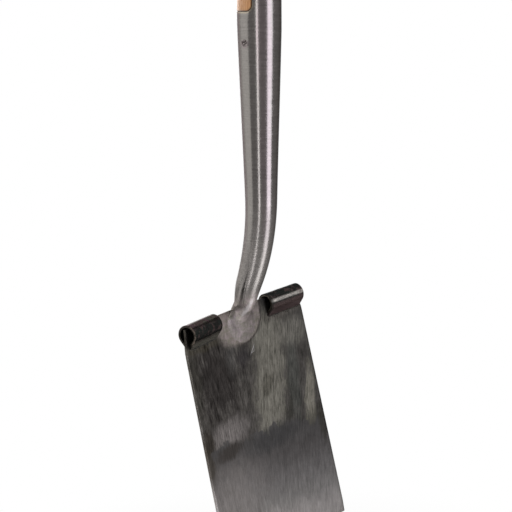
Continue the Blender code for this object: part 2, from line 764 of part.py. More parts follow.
def build_socket_rivet(finish):
    """The side rivet, whose sunk heads are ground nearly flush with the socket."""
    inner, outer = socket_rivet_places()
    crown = socket_radius(MOUTH_HEIGHT - SOCKET_RIVET_DROP) + SOCKET_RIVET_PROUD
    head = [(SOCKET_RIVET_SHANK, inner), *dome(SOCKET_RIVET_HEAD, outer, crown - outer)]
    turned("socket_rivet", turned_over(head) + head, "X", SOCKET_RIVET_CENTRE, finish, RIVET_SIDES)


def build_strap_rivets(finish):
    """The two rivets through strap and shaft, each with a burr under its tail at the back."""
    head_bears = flat_on(MOUTH_RADIUS, STRAP_RIVET_HEAD + SEAT) + SEAT
    burr_bears = flat_on(SHAFT_RADIUS, BURR_RADIUS + SEAT) + SEAT
    tail_bears = burr_bears + BURR_THICKNESS + SEAT
    head = dome(STRAP_RIVET_HEAD, head_bears, STRAP_RIVET_DOME)
    tail = dome(STRAP_RIVET_SHANK + PEEN_SPREAD, tail_bears, PEEN_HEIGHT)
    shank = [(STRAP_RIVET_SHANK, -head_bears), (STRAP_RIVET_SHANK, tail_bears)]
    for place, rise in STRAP_RIVET_HEIGHTS.items():
        centre = (0, SHAFT_Y, MOUTH_Z + rise)
        turned(f"strap_rivet_{place}", turned_over(head) + shank + tail, "Y", centre, finish, RIVET_SIDES)
        washer(f"strap_burr_{place}", "Y", centre, STRAP_RIVET_SHANK + SEAT, BURR_RADIUS,
               burr_bears, BURR_THICKNESS, finish)


def build_crotch_rivet(finish):
    """The rivet that keeps the split from running, with a burr at each side."""
    burr_bears = crotch_burr_seat() + SEAT
    head_bears = burr_bears + BURR_THICKNESS + SEAT
    head = [(CROTCH_RIVET_SHANK, head_bears)]
    head += dome(CROTCH_RIVET_SHANK + PEEN_SPREAD, head_bears, PEEN_HEIGHT)
    turned("crotch_rivet", turned_over(head) + head, "X", CROTCH_RIVET_CENTRE, finish, RIVET_SIDES)
    for name, bears in (("crotch_burr_left", -burr_bears), ("crotch_burr_right", burr_bears)):
        washer(name, "X", CROTCH_RIVET_CENTRE, CROTCH_RIVET_SHANK + SEAT, BURR_RADIUS,
               bears, BURR_THICKNESS, finish)


def build_grip(wood, steel):
    """The turned crossbar between the arms, the long rod through it and a washer at each end."""
    centre = (0, SHAFT_Y, GRIP_Z)
    shoulder = GRIP_INSIDE_WIDTH / 2 - SEAT
    arm_outside = GRIP_INSIDE_WIDTH / 2 + ARM_THICKNESS
    bore = ROD_RADIUS + SEAT
    barrel = []
    for i in range(BAR_STEPS + 1):
        share = -1 + 2 * i / BAR_STEPS
        swell = (BAR_MIDDLE_RADIUS - BAR_END_RADIUS) * math.cos(share * math.pi / 2)
        barrel.append((BAR_END_RADIUS + swell, share * (shoulder - BAR_END_ROUND)))
    end = [(BAR_END_RADIUS - BAR_END_ROUND, shoulder), (TENON_RADIUS, shoulder),
           (TENON_RADIUS, arm_outside - TENON_SHORT), (bore, arm_outside - TENON_SHORT)]
    profile = turned_over(end) + barrel + end
    turned("grip_bar", profile + [profile[0]], "X", centre, wood, BAR_SIDES)
    washer_bears = arm_outside + SEAT
    head_bears = washer_bears + GRIP_WASHER_THICKNESS + SEAT
    head = [(ROD_RADIUS, head_bears), *dome(ROD_RADIUS + PEEN_SPREAD, head_bears, PEEN_HEIGHT)]
    turned("grip_rod", turned_over(head) + head, "X", centre, steel, RIVET_SIDES)
    for name, bears in (("grip_washer_left", -washer_bears), ("grip_washer_right", washer_bears)):
        washer(name, "X", centre, bore, GRIP_WASHER_RADIUS, bears, GRIP_WASHER_THICKNESS, steel)


def main():
    """Build the whole spade."""
    clear_scene()
    blade_steel = material("blade steel", (0.22, 0.21, 0.20), 0.38, 1.0)
    scale_steel = material("tread steel", (0.045, 0.042, 0.040), 0.45, 0.8)
    socket_steel = material("socket steel", (0.30, 0.28, 0.26), 0.35, 1.0)
    rivet_steel = material("rivet steel", (0.26, 0.24, 0.23), 0.45, 1.0)
    ash = material("ash wood", (0.60, 0.38, 0.20), 0.55, 0.0)
    frame = bpy.data.objects.new("blade_frame", None)
    bpy.context.scene.collection.objects.link(frame)
    frame.rotation_euler = (-CANT, 0, 0)
    clearance = blade_clearance(frame)
    build_blade(blade_steel, frame)
    for side in TREAD_PLACES:
        build_tread(side, scale_steel, frame, clearance)
    hollow = socket_hollow()
    notch = notch_cutter()
    build_front_shell(socket_steel, hollow, notch, clearance)
    build_back_shell(socket_steel, hollow, notch, clearance)
    build_shaft(ash)
    build_socket_rivet(rivet_steel)
    build_strap_rivets(rivet_steel)
    build_crotch_rivet(rivet_steel)
    build_grip(ash, rivet_steel)


main()
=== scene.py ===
"""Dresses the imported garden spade: finer metal and wood, its finishes, and a plain pale studio.

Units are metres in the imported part's own frame. The origin is the middle of the cutting edge, +Z runs up
along the shaft, the front of the spade faces -Y, and left and right are those of someone who looks at its
front. Heights are measured along the shaft from the blade's top edge.
"""

import logging
import math
from collections.abc import Callable, Sequence
from dataclasses import dataclass
from enum import Enum

import bmesh
import bpy
from mathutils import Matrix, Vector, noise


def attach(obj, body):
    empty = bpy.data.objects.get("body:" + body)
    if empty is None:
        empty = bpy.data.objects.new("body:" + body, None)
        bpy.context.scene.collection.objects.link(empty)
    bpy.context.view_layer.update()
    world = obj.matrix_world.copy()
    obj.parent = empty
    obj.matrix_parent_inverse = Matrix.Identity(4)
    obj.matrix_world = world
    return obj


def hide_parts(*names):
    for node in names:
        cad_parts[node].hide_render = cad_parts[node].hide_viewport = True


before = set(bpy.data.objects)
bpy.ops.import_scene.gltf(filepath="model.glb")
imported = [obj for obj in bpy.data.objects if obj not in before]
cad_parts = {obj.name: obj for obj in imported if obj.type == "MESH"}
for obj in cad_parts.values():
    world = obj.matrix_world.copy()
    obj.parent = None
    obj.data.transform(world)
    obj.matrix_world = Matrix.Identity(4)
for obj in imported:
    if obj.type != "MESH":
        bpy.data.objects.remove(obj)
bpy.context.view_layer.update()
LOG = logging.getLogger("spade")

Point = tuple[float, float, float]
Ring = list[Point]
Profile = list[tuple[float, float]]
Colour = tuple[float, float, float]
Number = "Signal | float"
Piece = bpy.types.Object
Finish = bpy.types.Material
MM = 0.001
WELD_REACH = 0.00001
SMOOTH_ANGLE = math.radians(38)
LAMP_LIFT = 2.1


class Side(Enum):
    """The two sides of the spade, as someone in front of it sees them."""

    LEFT = -1
    RIGHT = 1


class Axis(Enum):
    """The axis that a turned piece is turned round."""

    X = "X"
    Y = "Y"


class Slot(Enum):
    """The record's material slots."""

    BLADE = "blade_steel"
    TREAD = "tread_steel"
    SOCKET = "socket_steel"
    RIVET = "rivet_steel"
    ASH = "ash"


def shown(red: int, green: int, blue: int) -> Colour:
    """Turn a colour as a screen shows it, 0 to 255, into the linear one that shaders take."""

    def linear(level: int) -> float:
        """One channel of it."""
        share = level / 255
        return share / 12.92 if share <= 0.04045 else ((share + 0.055) / 1.055) ** 2.4

    return linear(red), linear(green), linear(blue)


def steps(low: float, high: float, step: float) -> list[float]:
    """Evenly spaced places from low up to, and without, high."""
    count = max(1, round((high - low) / step))
    return [low + (high - low) * i / count for i in range(count)]


def rows_between(bounds: Sequence[float], spacings: Sequence[float]) -> list[float]:
    """The places from the first bound up to the last one, with a spacing of their own in each stretch."""
    stretches = zip(bounds, bounds[1:], spacings)
    return [place for low, high, spacing in stretches for place in steps(low, high, spacing)]


def smooth_rise(share: float) -> float:
    """A rise from 0 to 1 that starts and ends level, and holds beyond its ends."""
    held = min(max(share, 0.0), 1.0)
    return held**2 * (3 - 2 * held)


def slope_at(rows: Sequence[tuple[float, ...]], index: int, column: int) -> float:
    """The slope of one column of sorted (place, value, ...) stations at one of them."""
    before, after = rows[max(index - 1, 0)], rows[min(index + 1, len(rows) - 1)]
    return (after[column] - before[column]) / (after[0] - before[0])


def smooth_through(stations: Sequence[tuple[float, ...]], place: float) -> tuple[float, ...]:
    """Read a smooth curve through (place, value, ...) stations.

    Args:
        stations: The places, in any order, each with its values.
        place: Where the curve is read. Values hold beyond the ends.

    Returns:
        The values there.
    """
    rows = sorted(stations)
    if place <= rows[0][0]:
        return rows[0][1:]
    if place >= rows[-1][0]:
        return rows[-1][1:]
    i = max(k for k in range(len(rows) - 1) if rows[k][0] <= place)
    low, high = rows[i], rows[i + 1]
    span = high[0] - low[0]
    t = (place - low[0]) / span
    return tuple(
        low[column] * (2 * t**3 - 3 * t**2 + 1)
        + slope_at(rows, i, column) * span * (t**3 - 2 * t**2 + t)
        + high[column] * (3 * t**2 - 2 * t**3)
        + slope_at(rows, i + 1, column) * span * (t**3 - t**2)
        for column in range(1, len(low))
    )


def flipped(profile: Profile) -> Profile:
    """A profile of (radius, place along the axis) points turned end for end."""
    return [(radius, -place) for radius, place in reversed(profile)]


@dataclass(frozen=True)
class Stance:
    """How the blade stands to the shaft, and how its plate is dished."""

    cant: float = math.radians(13.5)
    blade_length: float = 0.2535
    standoff: float = 0.032
    dish_radius: float = 0.605

    @property
    def top_y(self) -> float:
        """The Y of the blade's top edge."""
        return self.blade_length * math.sin(self.cant)

    @property
    def top_z(self) -> float:
        """The Z of the blade's top edge."""
        return self.blade_length * math.cos(self.cant)

    @property
    def shaft_y(self) -> float:
        """The Y of the shaft's axis."""
        return self.top_y - self.standoff * math.cos(self.cant)

    def middle_y(self, height: float) -> float:
        """The Y of the blade's middle surface on its centre line at a height."""
        return self.top_y + height * math.tan(self.cant)

    def on_shaft(self, height: float) -> Point:
        """The place on the shaft's axis at a height."""
        return 0.0, self.shaft_y, self.top_z + height

    def from_blade(self, across: float, back: float, up: float) -> Point:
        """Turn a place on the blade, measured up from its cutting edge, into the part's frame."""
        cos, sin = math.cos(self.cant), math.sin(self.cant)
        return across, back * cos + up * sin, up * cos - back * sin

    def turn_at(self, x: "Signal", y: "Signal") -> "Signal":
        """The angle from the front, round the shaft's axis, at which a shaded point lies."""
        return abs(x).maths("ARCTAN2", abs(x), self.shaft_y - y)


class Bench:
    """Shapes meshes with Blender's own tools, as by hand."""

    @staticmethod
    def clear() -> None:
        """Leave edit mode and deselect everything."""
        if bpy.context.mode != "OBJECT":
            bpy.ops.object.mode_set(mode="OBJECT")
        bpy.ops.object.select_all(action="DESELECT")

    @staticmethod
    def pick(*pieces: Piece) -> None:
        """Select these pieces alone, and make the first one active."""
        Bench.clear()
        for piece in pieces:
            piece.select_set(True)
        bpy.context.view_layer.objects.active = pieces[0]

    @staticmethod
    def edit_all(piece: Piece) -> None:
        """Enter edit mode on one piece with all of it selected."""
        Bench.pick(piece)
        bpy.ops.object.mode_set(mode="EDIT")
        bpy.ops.mesh.select_all(action="SELECT")

    @staticmethod
    def close_up(piece: Piece, reach: float = 0.0) -> None:
        """Weld the points of a closed piece that lie within reach, and turn its faces outwards."""
        Bench.edit_all(piece)
        if reach:
            bpy.ops.mesh.remove_doubles(threshold=reach)
        bpy.ops.mesh.normals_make_consistent(inside=False)
        bpy.ops.object.mode_set(mode="OBJECT")

    @staticmethod
    def start_circle(name: str, count: int, fill: str) -> Piece:
        """Add a circle at the origin and enter edit mode on it."""
        Bench.clear()
        bpy.ops.mesh.primitive_circle_add(vertices=count, radius=1.0, fill_type=fill, location=(0, 0, 0))
        piece = bpy.context.object
        piece.name = name
        piece.data.name = name
        bpy.ops.object.mode_set(mode="EDIT")
        bpy.ops.mesh.select_all(action="SELECT")
        return piece

    @staticmethod
    def place_on_rings(piece: Piece, rings: Sequence[Ring]) -> None:
        """Move the points of a raised circle to their places on the rings."""
        count = len(rings[0])
        for vert in piece.data.vertices:
            turn = math.atan2(vert.co.y, vert.co.x) - math.pi / 2
            vert.co = rings[round(vert.co.z)][round(turn / (2 * math.pi) * count) % count]

    @staticmethod
    def loft(name: str, rings: Sequence[Ring]) -> Piece:
        """Raise a closed body ring by ring from a disc.

        Args:
            name: The piece's name.
            rings: Its outlines, each with equally many points.

        Returns:
            The piece, its faces outwards.
        """
        piece = Bench.start_circle(name, len(rings[0]), "NGON")
        for _ in rings[1:]:
            bpy.ops.mesh.extrude_region_move(TRANSFORM_OT_translate={"value": (0.0, 0.0, 1.0)})
        bpy.ops.object.mode_set(mode="OBJECT")
        Bench.place_on_rings(piece, rings)
        Bench.close_up(piece)
        return piece

    @staticmethod
    def turned(name: str, profile: Profile, axis: Axis, centre: Point, sides: int = 64) -> Piece:
        """Turn a solid body on the lathe.

        Args:
            name: The piece's name.
            profile: (radius, place along the axis) points from one end to the other.
            axis: What it is turned round.
            centre: Where the axis' zero lies.
            sides: How many points go round.

        Returns:
            The piece, its faces outwards.
        """
        rings = []
        for radius, place in profile:
            ring = []
            for i in range(sides):
                turn = 2 * math.pi * i / sides
                u, v = radius * math.cos(turn), radius * math.sin(turn)
                local = (place, u, v) if axis is Axis.X else (u, place, v)
                ring.append(tuple(a + b for a, b in zip(local, centre)))
            rings.append(ring)
        return Bench.loft(name, rings)

    @staticmethod
    def ring_shaped(name: str, profile: Profile, axis: Axis, centre: Point, sides: int = 64) -> Piece:
        """Spin a closed outline of (radius, place along the axis) points into a ring."""
        piece = Bench.start_circle(name, len(profile), "NOTHING")
        bpy.ops.object.mode_set(mode="OBJECT")
        if axis is Axis.X:
            outline = [(place, radius, 0.0) for radius, place in profile]
            direction = (1, 0, 0)
        else:
            outline = [(0.0, place, radius) for radius, place in profile]
            direction = (0, 1, 0)
        Bench.place_on_rings(piece, [outline])
        Bench.edit_all(piece)
        bpy.ops.mesh.spin(steps=sides, angle=2 * math.pi, center=(0, 0, 0), axis=direction)
        Bench.close_up(piece, WELD_REACH)
        piece.data.transform(Matrix.Translation(centre))
        return piece

    @staticmethod
    def sculpt(piece: Piece, move: Callable[[Vector], Vector]) -> None:
        """Move each point of a piece by what a function of its place gives."""
        for vert in piece.data.vertices:
            vert.co = vert.co + move(vert.co)
        piece.data.update()

    @staticmethod
    def apply(piece: Piece, modifier: bpy.types.Modifier) -> None:
        """Apply one modifier."""
        Bench.pick(piece)
        bpy.ops.object.modifier_apply(modifier=modifier.name)

    @staticmethod
    def ease(piece: Piece, width: float, where: Callable[[Vector], bool] | None = None,
             segments: int = 2, sharper: float = math.radians(50)) -> None:
        """Round the sharp edges of a piece.

        Args:
            piece: The piece.
            width: How wide the rounding is.
            where: Tells from an edge's middle whether it is rounded. All are without it.
            segments: The rounding's faces.
            sharper: Edges that turn by more than this angle are sharp.
        """
        bm = bmesh.new()
        bm.from_mesh(piece.data)
        weight = bm.edges.layers.float.new("bevel_weight_edge")
        for edge in bm.edges:
            if edge.is_manifold and edge.calc_face_angle() > sharper:
                middle = (edge.verts[0].co + edge.verts[1].co) / 2
                edge[weight] = 1.0 if where is None or where(middle) else 0.0
        bm.to_mesh(piece.data)
        bm.free()
        bevel = piece.modifiers.new("eased_edges", "BEVEL")
        bevel.limit_method = "WEIGHT"
        bevel.width = width
        bevel.segments = segments
        Bench.apply(piece, bevel)

    @staticmethod
    def mirror(piece: Piece, reach: float) -> None:
        """Add a piece's other half across X and weld the two in the middle."""
        mirror = piece.modifiers.new("other_half", "MIRROR")
        mirror.use_axis = (True, False, False)
        mirror.merge_threshold = reach
        Bench.apply(piece, mirror)
        Bench.close_up(piece, reach)

    @staticmethod
    def paint(piece: Piece, name: str, value: Callable[[Vector], float]) -> None:
        """Keep a number on each point of a piece, for its finish to read."""
        layer = piece.data.attributes.new(name, "FLOAT", "POINT")
        layer.data.foreach_set("value", [value(vert.co) for vert in piece.data.vertices])

    @staticmethod
    def paint_place(piece: Piece, name: str, place: Callable[[Vector], Point]) -> None:
        """Keep a place on each point of a piece, for its finish to read."""
        layer = piece.data.attributes.new(name, "FLOAT_VECTOR", "POINT")
        flat = [number for vert in piece.data.vertices for number in place(vert.co)]
        layer.data.foreach_set("vector", flat)

    @staticmethod
    def join(name: str, pieces: Sequence[Piece]) -> Piece:
        """Join several pieces into one."""
        Bench.pick(*pieces)
        if len(pieces) > 1:
            bpy.ops.object.join()
        pieces[0].name = name
        pieces[0].data.name = name
        return pieces[0]

    @staticmethod
    def hand_in(piece: Piece, finish: Finish, slot: Slot, *nodes: str) -> None:
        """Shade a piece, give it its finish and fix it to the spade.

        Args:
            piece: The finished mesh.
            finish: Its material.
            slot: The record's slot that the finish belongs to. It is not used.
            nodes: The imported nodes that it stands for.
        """
        Bench.pick(piece)
        bpy.ops.object.shade_smooth_by_angle(angle=SMOOTH_ANGLE)
        piece.data.materials.clear()
        piece.data.materials.append(finish)
        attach(piece, "root")
        if nodes:
            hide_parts(*nodes)
        LOG.info("%s: %d faces, stands for %s", piece.name, len(piece.data.polygons), nodes or "itself")


class Signal:
    """A value that runs between shader nodes and takes part in Python maths."""

    def __init__(self, board: "Board", socket: bpy.types.NodeSocket) -> None:
        self.board = board
        self.socket = socket

    def maths(self, operation: str, first: Number, second: Number = 0.0) -> "Signal":
        """Add one Math node."""
        return self.board.node("ShaderNodeMath", {"operation": operation}, {0: first, 1: second})

    def __add__(self, other: Number) -> "Signal":
        """This plus other."""
        return self.maths("ADD", self, other)

    __radd__ = __add__

    def __sub__(self, other: Number) -> "Signal":
        """This minus other."""
        return self.maths("SUBTRACT", self, other)

    def __rsub__(self, other: Number) -> "Signal":
        """Other minus this."""
        return self.maths("SUBTRACT", other, self)

    def __mul__(self, other: Number) -> "Signal":
        """This times other."""
        return self.maths("MULTIPLY", self, other)

    __rmul__ = __mul__

    def __truediv__(self, other: Number) -> "Signal":
        """This over other."""
        return self.maths("DIVIDE", self, other)

    def __pow__(self, other: Number) -> "Signal":
        """This to the power of other."""
        return self.maths("POWER", self, other)

    def __abs__(self) -> "Signal":
        """The size of this."""
        return self.maths("ABSOLUTE", self)

    def hypot(self, other: Number) -> "Signal":
        """The distance that this one way and other across it make."""
        return self.maths("SQRT", self ** 2.0 + other ** 2.0)

    def swing(self, amount: float) -> "Signal":
        """Noise about a half, turned into a swing to either side of 0."""
        return (self - 0.5) * amount

    def part(self) -> "Signal":
        """What is left of this above the whole number below it."""
        return self.maths("FRACT", self)

    def least(self, other: Number) -> "Signal":
        """The smaller of this and other."""
        return self.maths("MINIMUM", self, other)

    def most(self, other: Number) -> "Signal":
        """The larger of this and other."""
        return self.maths("MAXIMUM", self, other)

    def held(self, low: Number, high: Number) -> "Signal":
        """This, but never below low or above high."""
        return self.most(low).least(high)

    def rise(self, low: Number, high: Number) -> "Signal":
        """A smooth rise from 0, where this is low, to 1, where it is high."""
        settings = {"interpolation_type": "SMOOTHSTEP"}
        return self.board.node("ShaderNodeMapRange", settings, {0: self, 1: low, 2: high, 3: 0.0, 4: 1.0})

    def fall(self, low: Number, high: Number) -> "Signal":
        """A smooth fall from 1, where this is low, to 0, where it is high."""
        return 1.0 - self.rise(low, high)


class Board:
    """The node tree of a material or of the world."""

    def __init__(self, owner: Finish | bpy.types.World) -> None:
        owner.use_nodes = True
        self.owner = owner
        self.tree = owner.node_tree
        self.tree.nodes.clear()

    def node(self, kind: str, settings: dict[str, object], sockets: dict[int | str, object],
             output: int | str = 0) -> Signal:
        """Add one node.

        Args:
            kind: The node's type.
            settings: Its settings, which are set first. A ramp's "stops" are (place, colour) pairs.
            sockets: What its inputs hold or are linked to, by number or name.
            output: Which output the signal carries.

        Returns:
            That output's signal.
        """
        made = self.tree.nodes.new(kind)
        for name, setting in settings.items():
            if name == "stops":
                self.set_stops(made.color_ramp, setting)
            else:
                setattr(made, name, setting)
        for key, value in sockets.items():
            self.fill(made.inputs[key], value)
        return Signal(self, made.outputs[output] if made.outputs else None)

    def fill(self, socket: bpy.types.NodeSocket, value: object) -> None:
        """Link a signal to an input, or set the input's own value."""
        if isinstance(value, Signal):
            self.tree.links.new(value.socket, socket)
        elif isinstance(value, tuple) and socket.type == "RGBA":
            socket.default_value = (*value, 1.0)
        else:
            socket.default_value = value

    @staticmethod
    def set_stops(ramp: bpy.types.ColorRamp, stops: Sequence[tuple[float, Colour]]) -> None:
        """Set a colour ramp's stops."""
        while len(ramp.elements) < len(stops):
            ramp.elements.new(1.0)
        for element, (place, colour) in zip(ramp.elements, stops):
            element.position = place
            element.color = (*colour, 1.0)

    def place(self, scale: Sequence[float] | float = 1.0, turn: Sequence[float] = (0.0, 0.0, 0.0),
              shift: Sequence[float] = (0.0, 0.0, 0.0), attribute: str = "") -> Signal:
        """The place of the shaded point, scaled, turned and shifted in that order."""
        if attribute:
            start = self.node("ShaderNodeAttribute", {"attribute_name": attribute}, {}, "Vector")
        else:
            start = self.node("ShaderNodeTexCoord", {}, {}, "Object")
        return self.move(start, scale, turn, shift)

    def move(self, place: Signal, scale: Sequence[float] | float = 1.0,
             turn: Sequence[float] = (0.0, 0.0, 0.0), shift: Sequence[float] = (0.0, 0.0, 0.0)) -> Signal:
        """A place scaled, turned and shifted in that order."""
        scales = (scale, scale, scale) if isinstance(scale, (int, float)) else tuple(scale)
        return self.node("ShaderNodeMapping", {}, {
            "Vector": place, "Scale": scales, "Rotation": tuple(turn), "Location": tuple(shift),
        })

    def split(self, vector: Signal) -> tuple[Signal, Signal, Signal]:
        """The three parts of a vector."""
        first = self.node("ShaderNodeSeparateXYZ", {}, {0: vector})
        outputs = first.socket.node.outputs
        return first, Signal(self, outputs[1]), Signal(self, outputs[2])

    def attribute(self, name: str) -> Signal:
        """A number painted on the mesh."""
        return self.node("ShaderNodeAttribute", {"attribute_name": name}, {}, "Fac")

    def cloud(self, place: Signal, scale: float | tuple[float, float, float], detail: float = 3.0,
              rough: float = 0.55, bend: float = 0.0) -> Signal:
        """Soft noise from 0 to 1, mostly near a half. Its scale is one number, or one for each way."""
        if isinstance(scale, tuple):
            place, scale = self.move(place, scale), 1.0
        return self.node("ShaderNodeTexNoise", {}, {
            "Vector": place, "Scale": scale, "Detail": detail, "Roughness": rough, "Distortion": bend,
        })

    def cells(self, place: Signal, scale: float) -> Signal:
        """The distance to the nearest of many scattered points."""
        return self.node("ShaderNodeTexVoronoi", {}, {"Vector": place, "Scale": scale}, "Distance")

    def mix(self, share: Number, first: object, second: object) -> Signal:
        """A colour between two others."""
        return self.node("ShaderNodeMix", {"data_type": "RGBA"}, {0: share, 6: first, 7: second}, 2)

    def multiply(self, first: object, second: object, share: Number = 1.0) -> Signal:
        """One colour times another."""
        settings = {"data_type": "RGBA", "blend_type": "MULTIPLY"}
        return self.node("ShaderNodeMix", settings, {0: share, 6: first, 7: second}, 2)

    def shade(self, colour: object, level: Signal) -> Signal:
        """A colour made darker by a level under 1 and lighter by one over 1."""
        grey = self.node("ShaderNodeCombineColor", {}, {0: level, 1: level, 2: level})
        return self.multiply(colour, grey)

    def ramp(self, value: Signal, stops: Sequence[tuple[float, Colour]]) -> Signal:
        """A colour read off a ramp."""
        return self.node("ShaderNodeValToRGB", {"stops": stops}, {0: value})

    def bump(self, height: Signal, distance: float, strength: float) -> Signal:
        """A normal tipped by a height."""
        sockets = {"Height": height, "Distance": distance, "Strength": strength}
        return self.node("ShaderNodeBump", {}, sockets)

    def finish(self, sockets: dict[str, object]) -> Finish:
        """End the tree in a Principled shader with these inputs."""
        shader = self.node("ShaderNodeBsdfPrincipled", {}, sockets)
        self.node("ShaderNodeOutputMaterial", {}, {"Surface": shader})
        return self.owner


def under_lamps(red: int, green: int, blue: int) -> Colour:
    """The steel's own colour, where the lamps' gloss lifts it to a colour as a screen shows it."""
    return tuple(channel / LAMP_LIFT for channel in shown(red, green, blue))


class Spot:
    """The shaded point as a place on the blade, in millimetres from the middle of its top edge."""

    def __init__(self, board: Board, stance: Stance) -> None:
        self.board = board
        self.place = board.place(1 / MM, (stance.cant, 0, 0), (0, 0, -stance.blade_length / MM))
        self.across, self.deep, self.height = board.split(self.place)
        self.dish_across = 2 * stance.dish_radius / MM

    def ahead(self) -> Signal:
        """How far it lies in front of the dished plate's middle."""
        return 0.0 - self.deep - self.across ** 2.0 / self.dish_across

    def wander(self) -> Signal:
        """The slow, torn noise that shapes the blade's patches."""
        return self.board.cloud(self.place, 0.075, 6.0, 0.66)

    def lines(self, slant: float, *noise_settings: object) -> Signal:
        """Noise whose lines lean by an angle in degrees, to the right if it is positive."""
        leaning = self.board.move(self.place, 1.0, (0, math.radians(-slant), 0))
        return self.board.cloud(leaning, *noise_settings)

    def strokes(self, slant: float) -> Signal:
        """Long frayed strokes."""
        return self.lines(slant, (0.42, 0.42, 0.042), 6.0, 0.78, 0.25)

    def grain(self, slant: float = 0.0) -> Signal:
        """The fine lines that scouring leaves."""
        return self.lines(slant, (1.0, 1.0, 0.09), 5.0, 0.8)

    def painted_light_balance(self) -> Signal:
        """How much lighter the steel is painted towards the left: painted light that makes up for the lamps
        reaching it less.
        """
        return self.across.fall(-120.0, 150.0) * 0.81 + 0.68


@dataclass(frozen=True)
class GroundPatch:
    """The fan of bright, blended metal where the socket is welded to the blade and ground down.

    Lengths are millimetres from the middle of the blade's top edge.
    """

    across: float = -5.0
    half_width: float = 37.0
    drop: float = 37.0
    squareness: float = 2.5
    pink: Colour = under_lamps(136, 126, 125)
    olive: Colour = under_lamps(121, 116, 108)
    rim_shade: Colour = under_lamps(73, 68, 66)

    @staticmethod
    def leftness(spot: Spot) -> Signal:
        """1 at the left, where the patch fades out, and 0 at the right, where its rim is crisp."""
        return spot.across.fall(-30.0, 5.0)

    def reach(self, spot: Spot, wander: Signal) -> Signal:
        """How far out a place lies: 1 on the patch's rim, which noise frays, most at the left."""
        aside, down = abs((spot.across - self.across) / self.half_width), abs(spot.height / self.drop)
        squarish = (aside ** self.squareness + down ** self.squareness) ** (1 / self.squareness)
        return squarish + (wander - 0.5) * (self.leftness(spot) * 0.35 + 0.16)

    def lay_on(self, spot: Spot, colour: object, reach: Signal) -> Signal:
        """Paint the patch over a colour.

        Args:
            spot: The place on the blade.
            colour: What lies under the patch.
            reach: How far out the place lies.

        Returns:
            The colour with the patch on it.
        """
        board, left = spot.board, self.leftness(spot)
        brushed = board.cloud(spot.place, (0.10, 0.30, 0.34), 5.0, 0.65, 0.8)
        own = board.shade(board.mix(brushed.rise(0.36, 0.60), self.olive, self.pink), left * 0.12 + 1.0)
        colour = board.mix(reach.fall(0.93 - left * 0.12, 1.01 + left * 0.10), colour, own)
        # Painted shade: a dark line along the patch's crisp right rim, for the shaded edge of the swelling
        # there.
        rim_shade = abs(reach - 0.99).fall(0.0, 0.05) * (1.0 - left) * 0.8
        return board.mix(rim_shade, colour, self.rim_shade)


@dataclass(frozen=True)
class Stain:
    """One cloudy patch on the blade, in millimetres from the middle of the blade's top edge."""

    across: float
    drop: float
    half_width: float
    half_height: float
    slant: float
    seen: tuple[int, int, int]
    strength: float
    soft: float = 0.55

    def lay_on(self, spot: Spot, colour: Signal, ragged: Signal) -> Signal:
        """Paint the patch over a colour, its rim frayed by noise."""
        up = spot.height + self.drop
        aside = (spot.across - up * self.slant - self.across) / self.half_width
        reach = aside.hypot(up / self.half_height) + ragged
        cover = reach.fall(1.0 - self.soft, 1.0 + self.soft * 0.4) * self.strength
        return spot.board.mix(cover, colour, under_lamps(*self.seen))


@dataclass(frozen=True)
class Scuff:
    """One short stroke where a tool has bitten into the blade, in millimetres and degrees."""

    across: float
    height: float
    angle: float
    half_length: float
    half_width: float

    def cover(self, spot: Spot) -> Signal:
        """1 along the stroke's middle, and 0 off it."""
        cos, sin = math.cos(math.radians(self.angle)), math.sin(math.radians(self.angle))
        x, z = spot.across - self.across, spot.height - self.height
        along, aside = abs(x * cos + z * sin), abs(z * cos - x * sin)
        return along.fall(self.half_length * 0.4, self.half_length) * aside.fall(0.1, self.half_width)


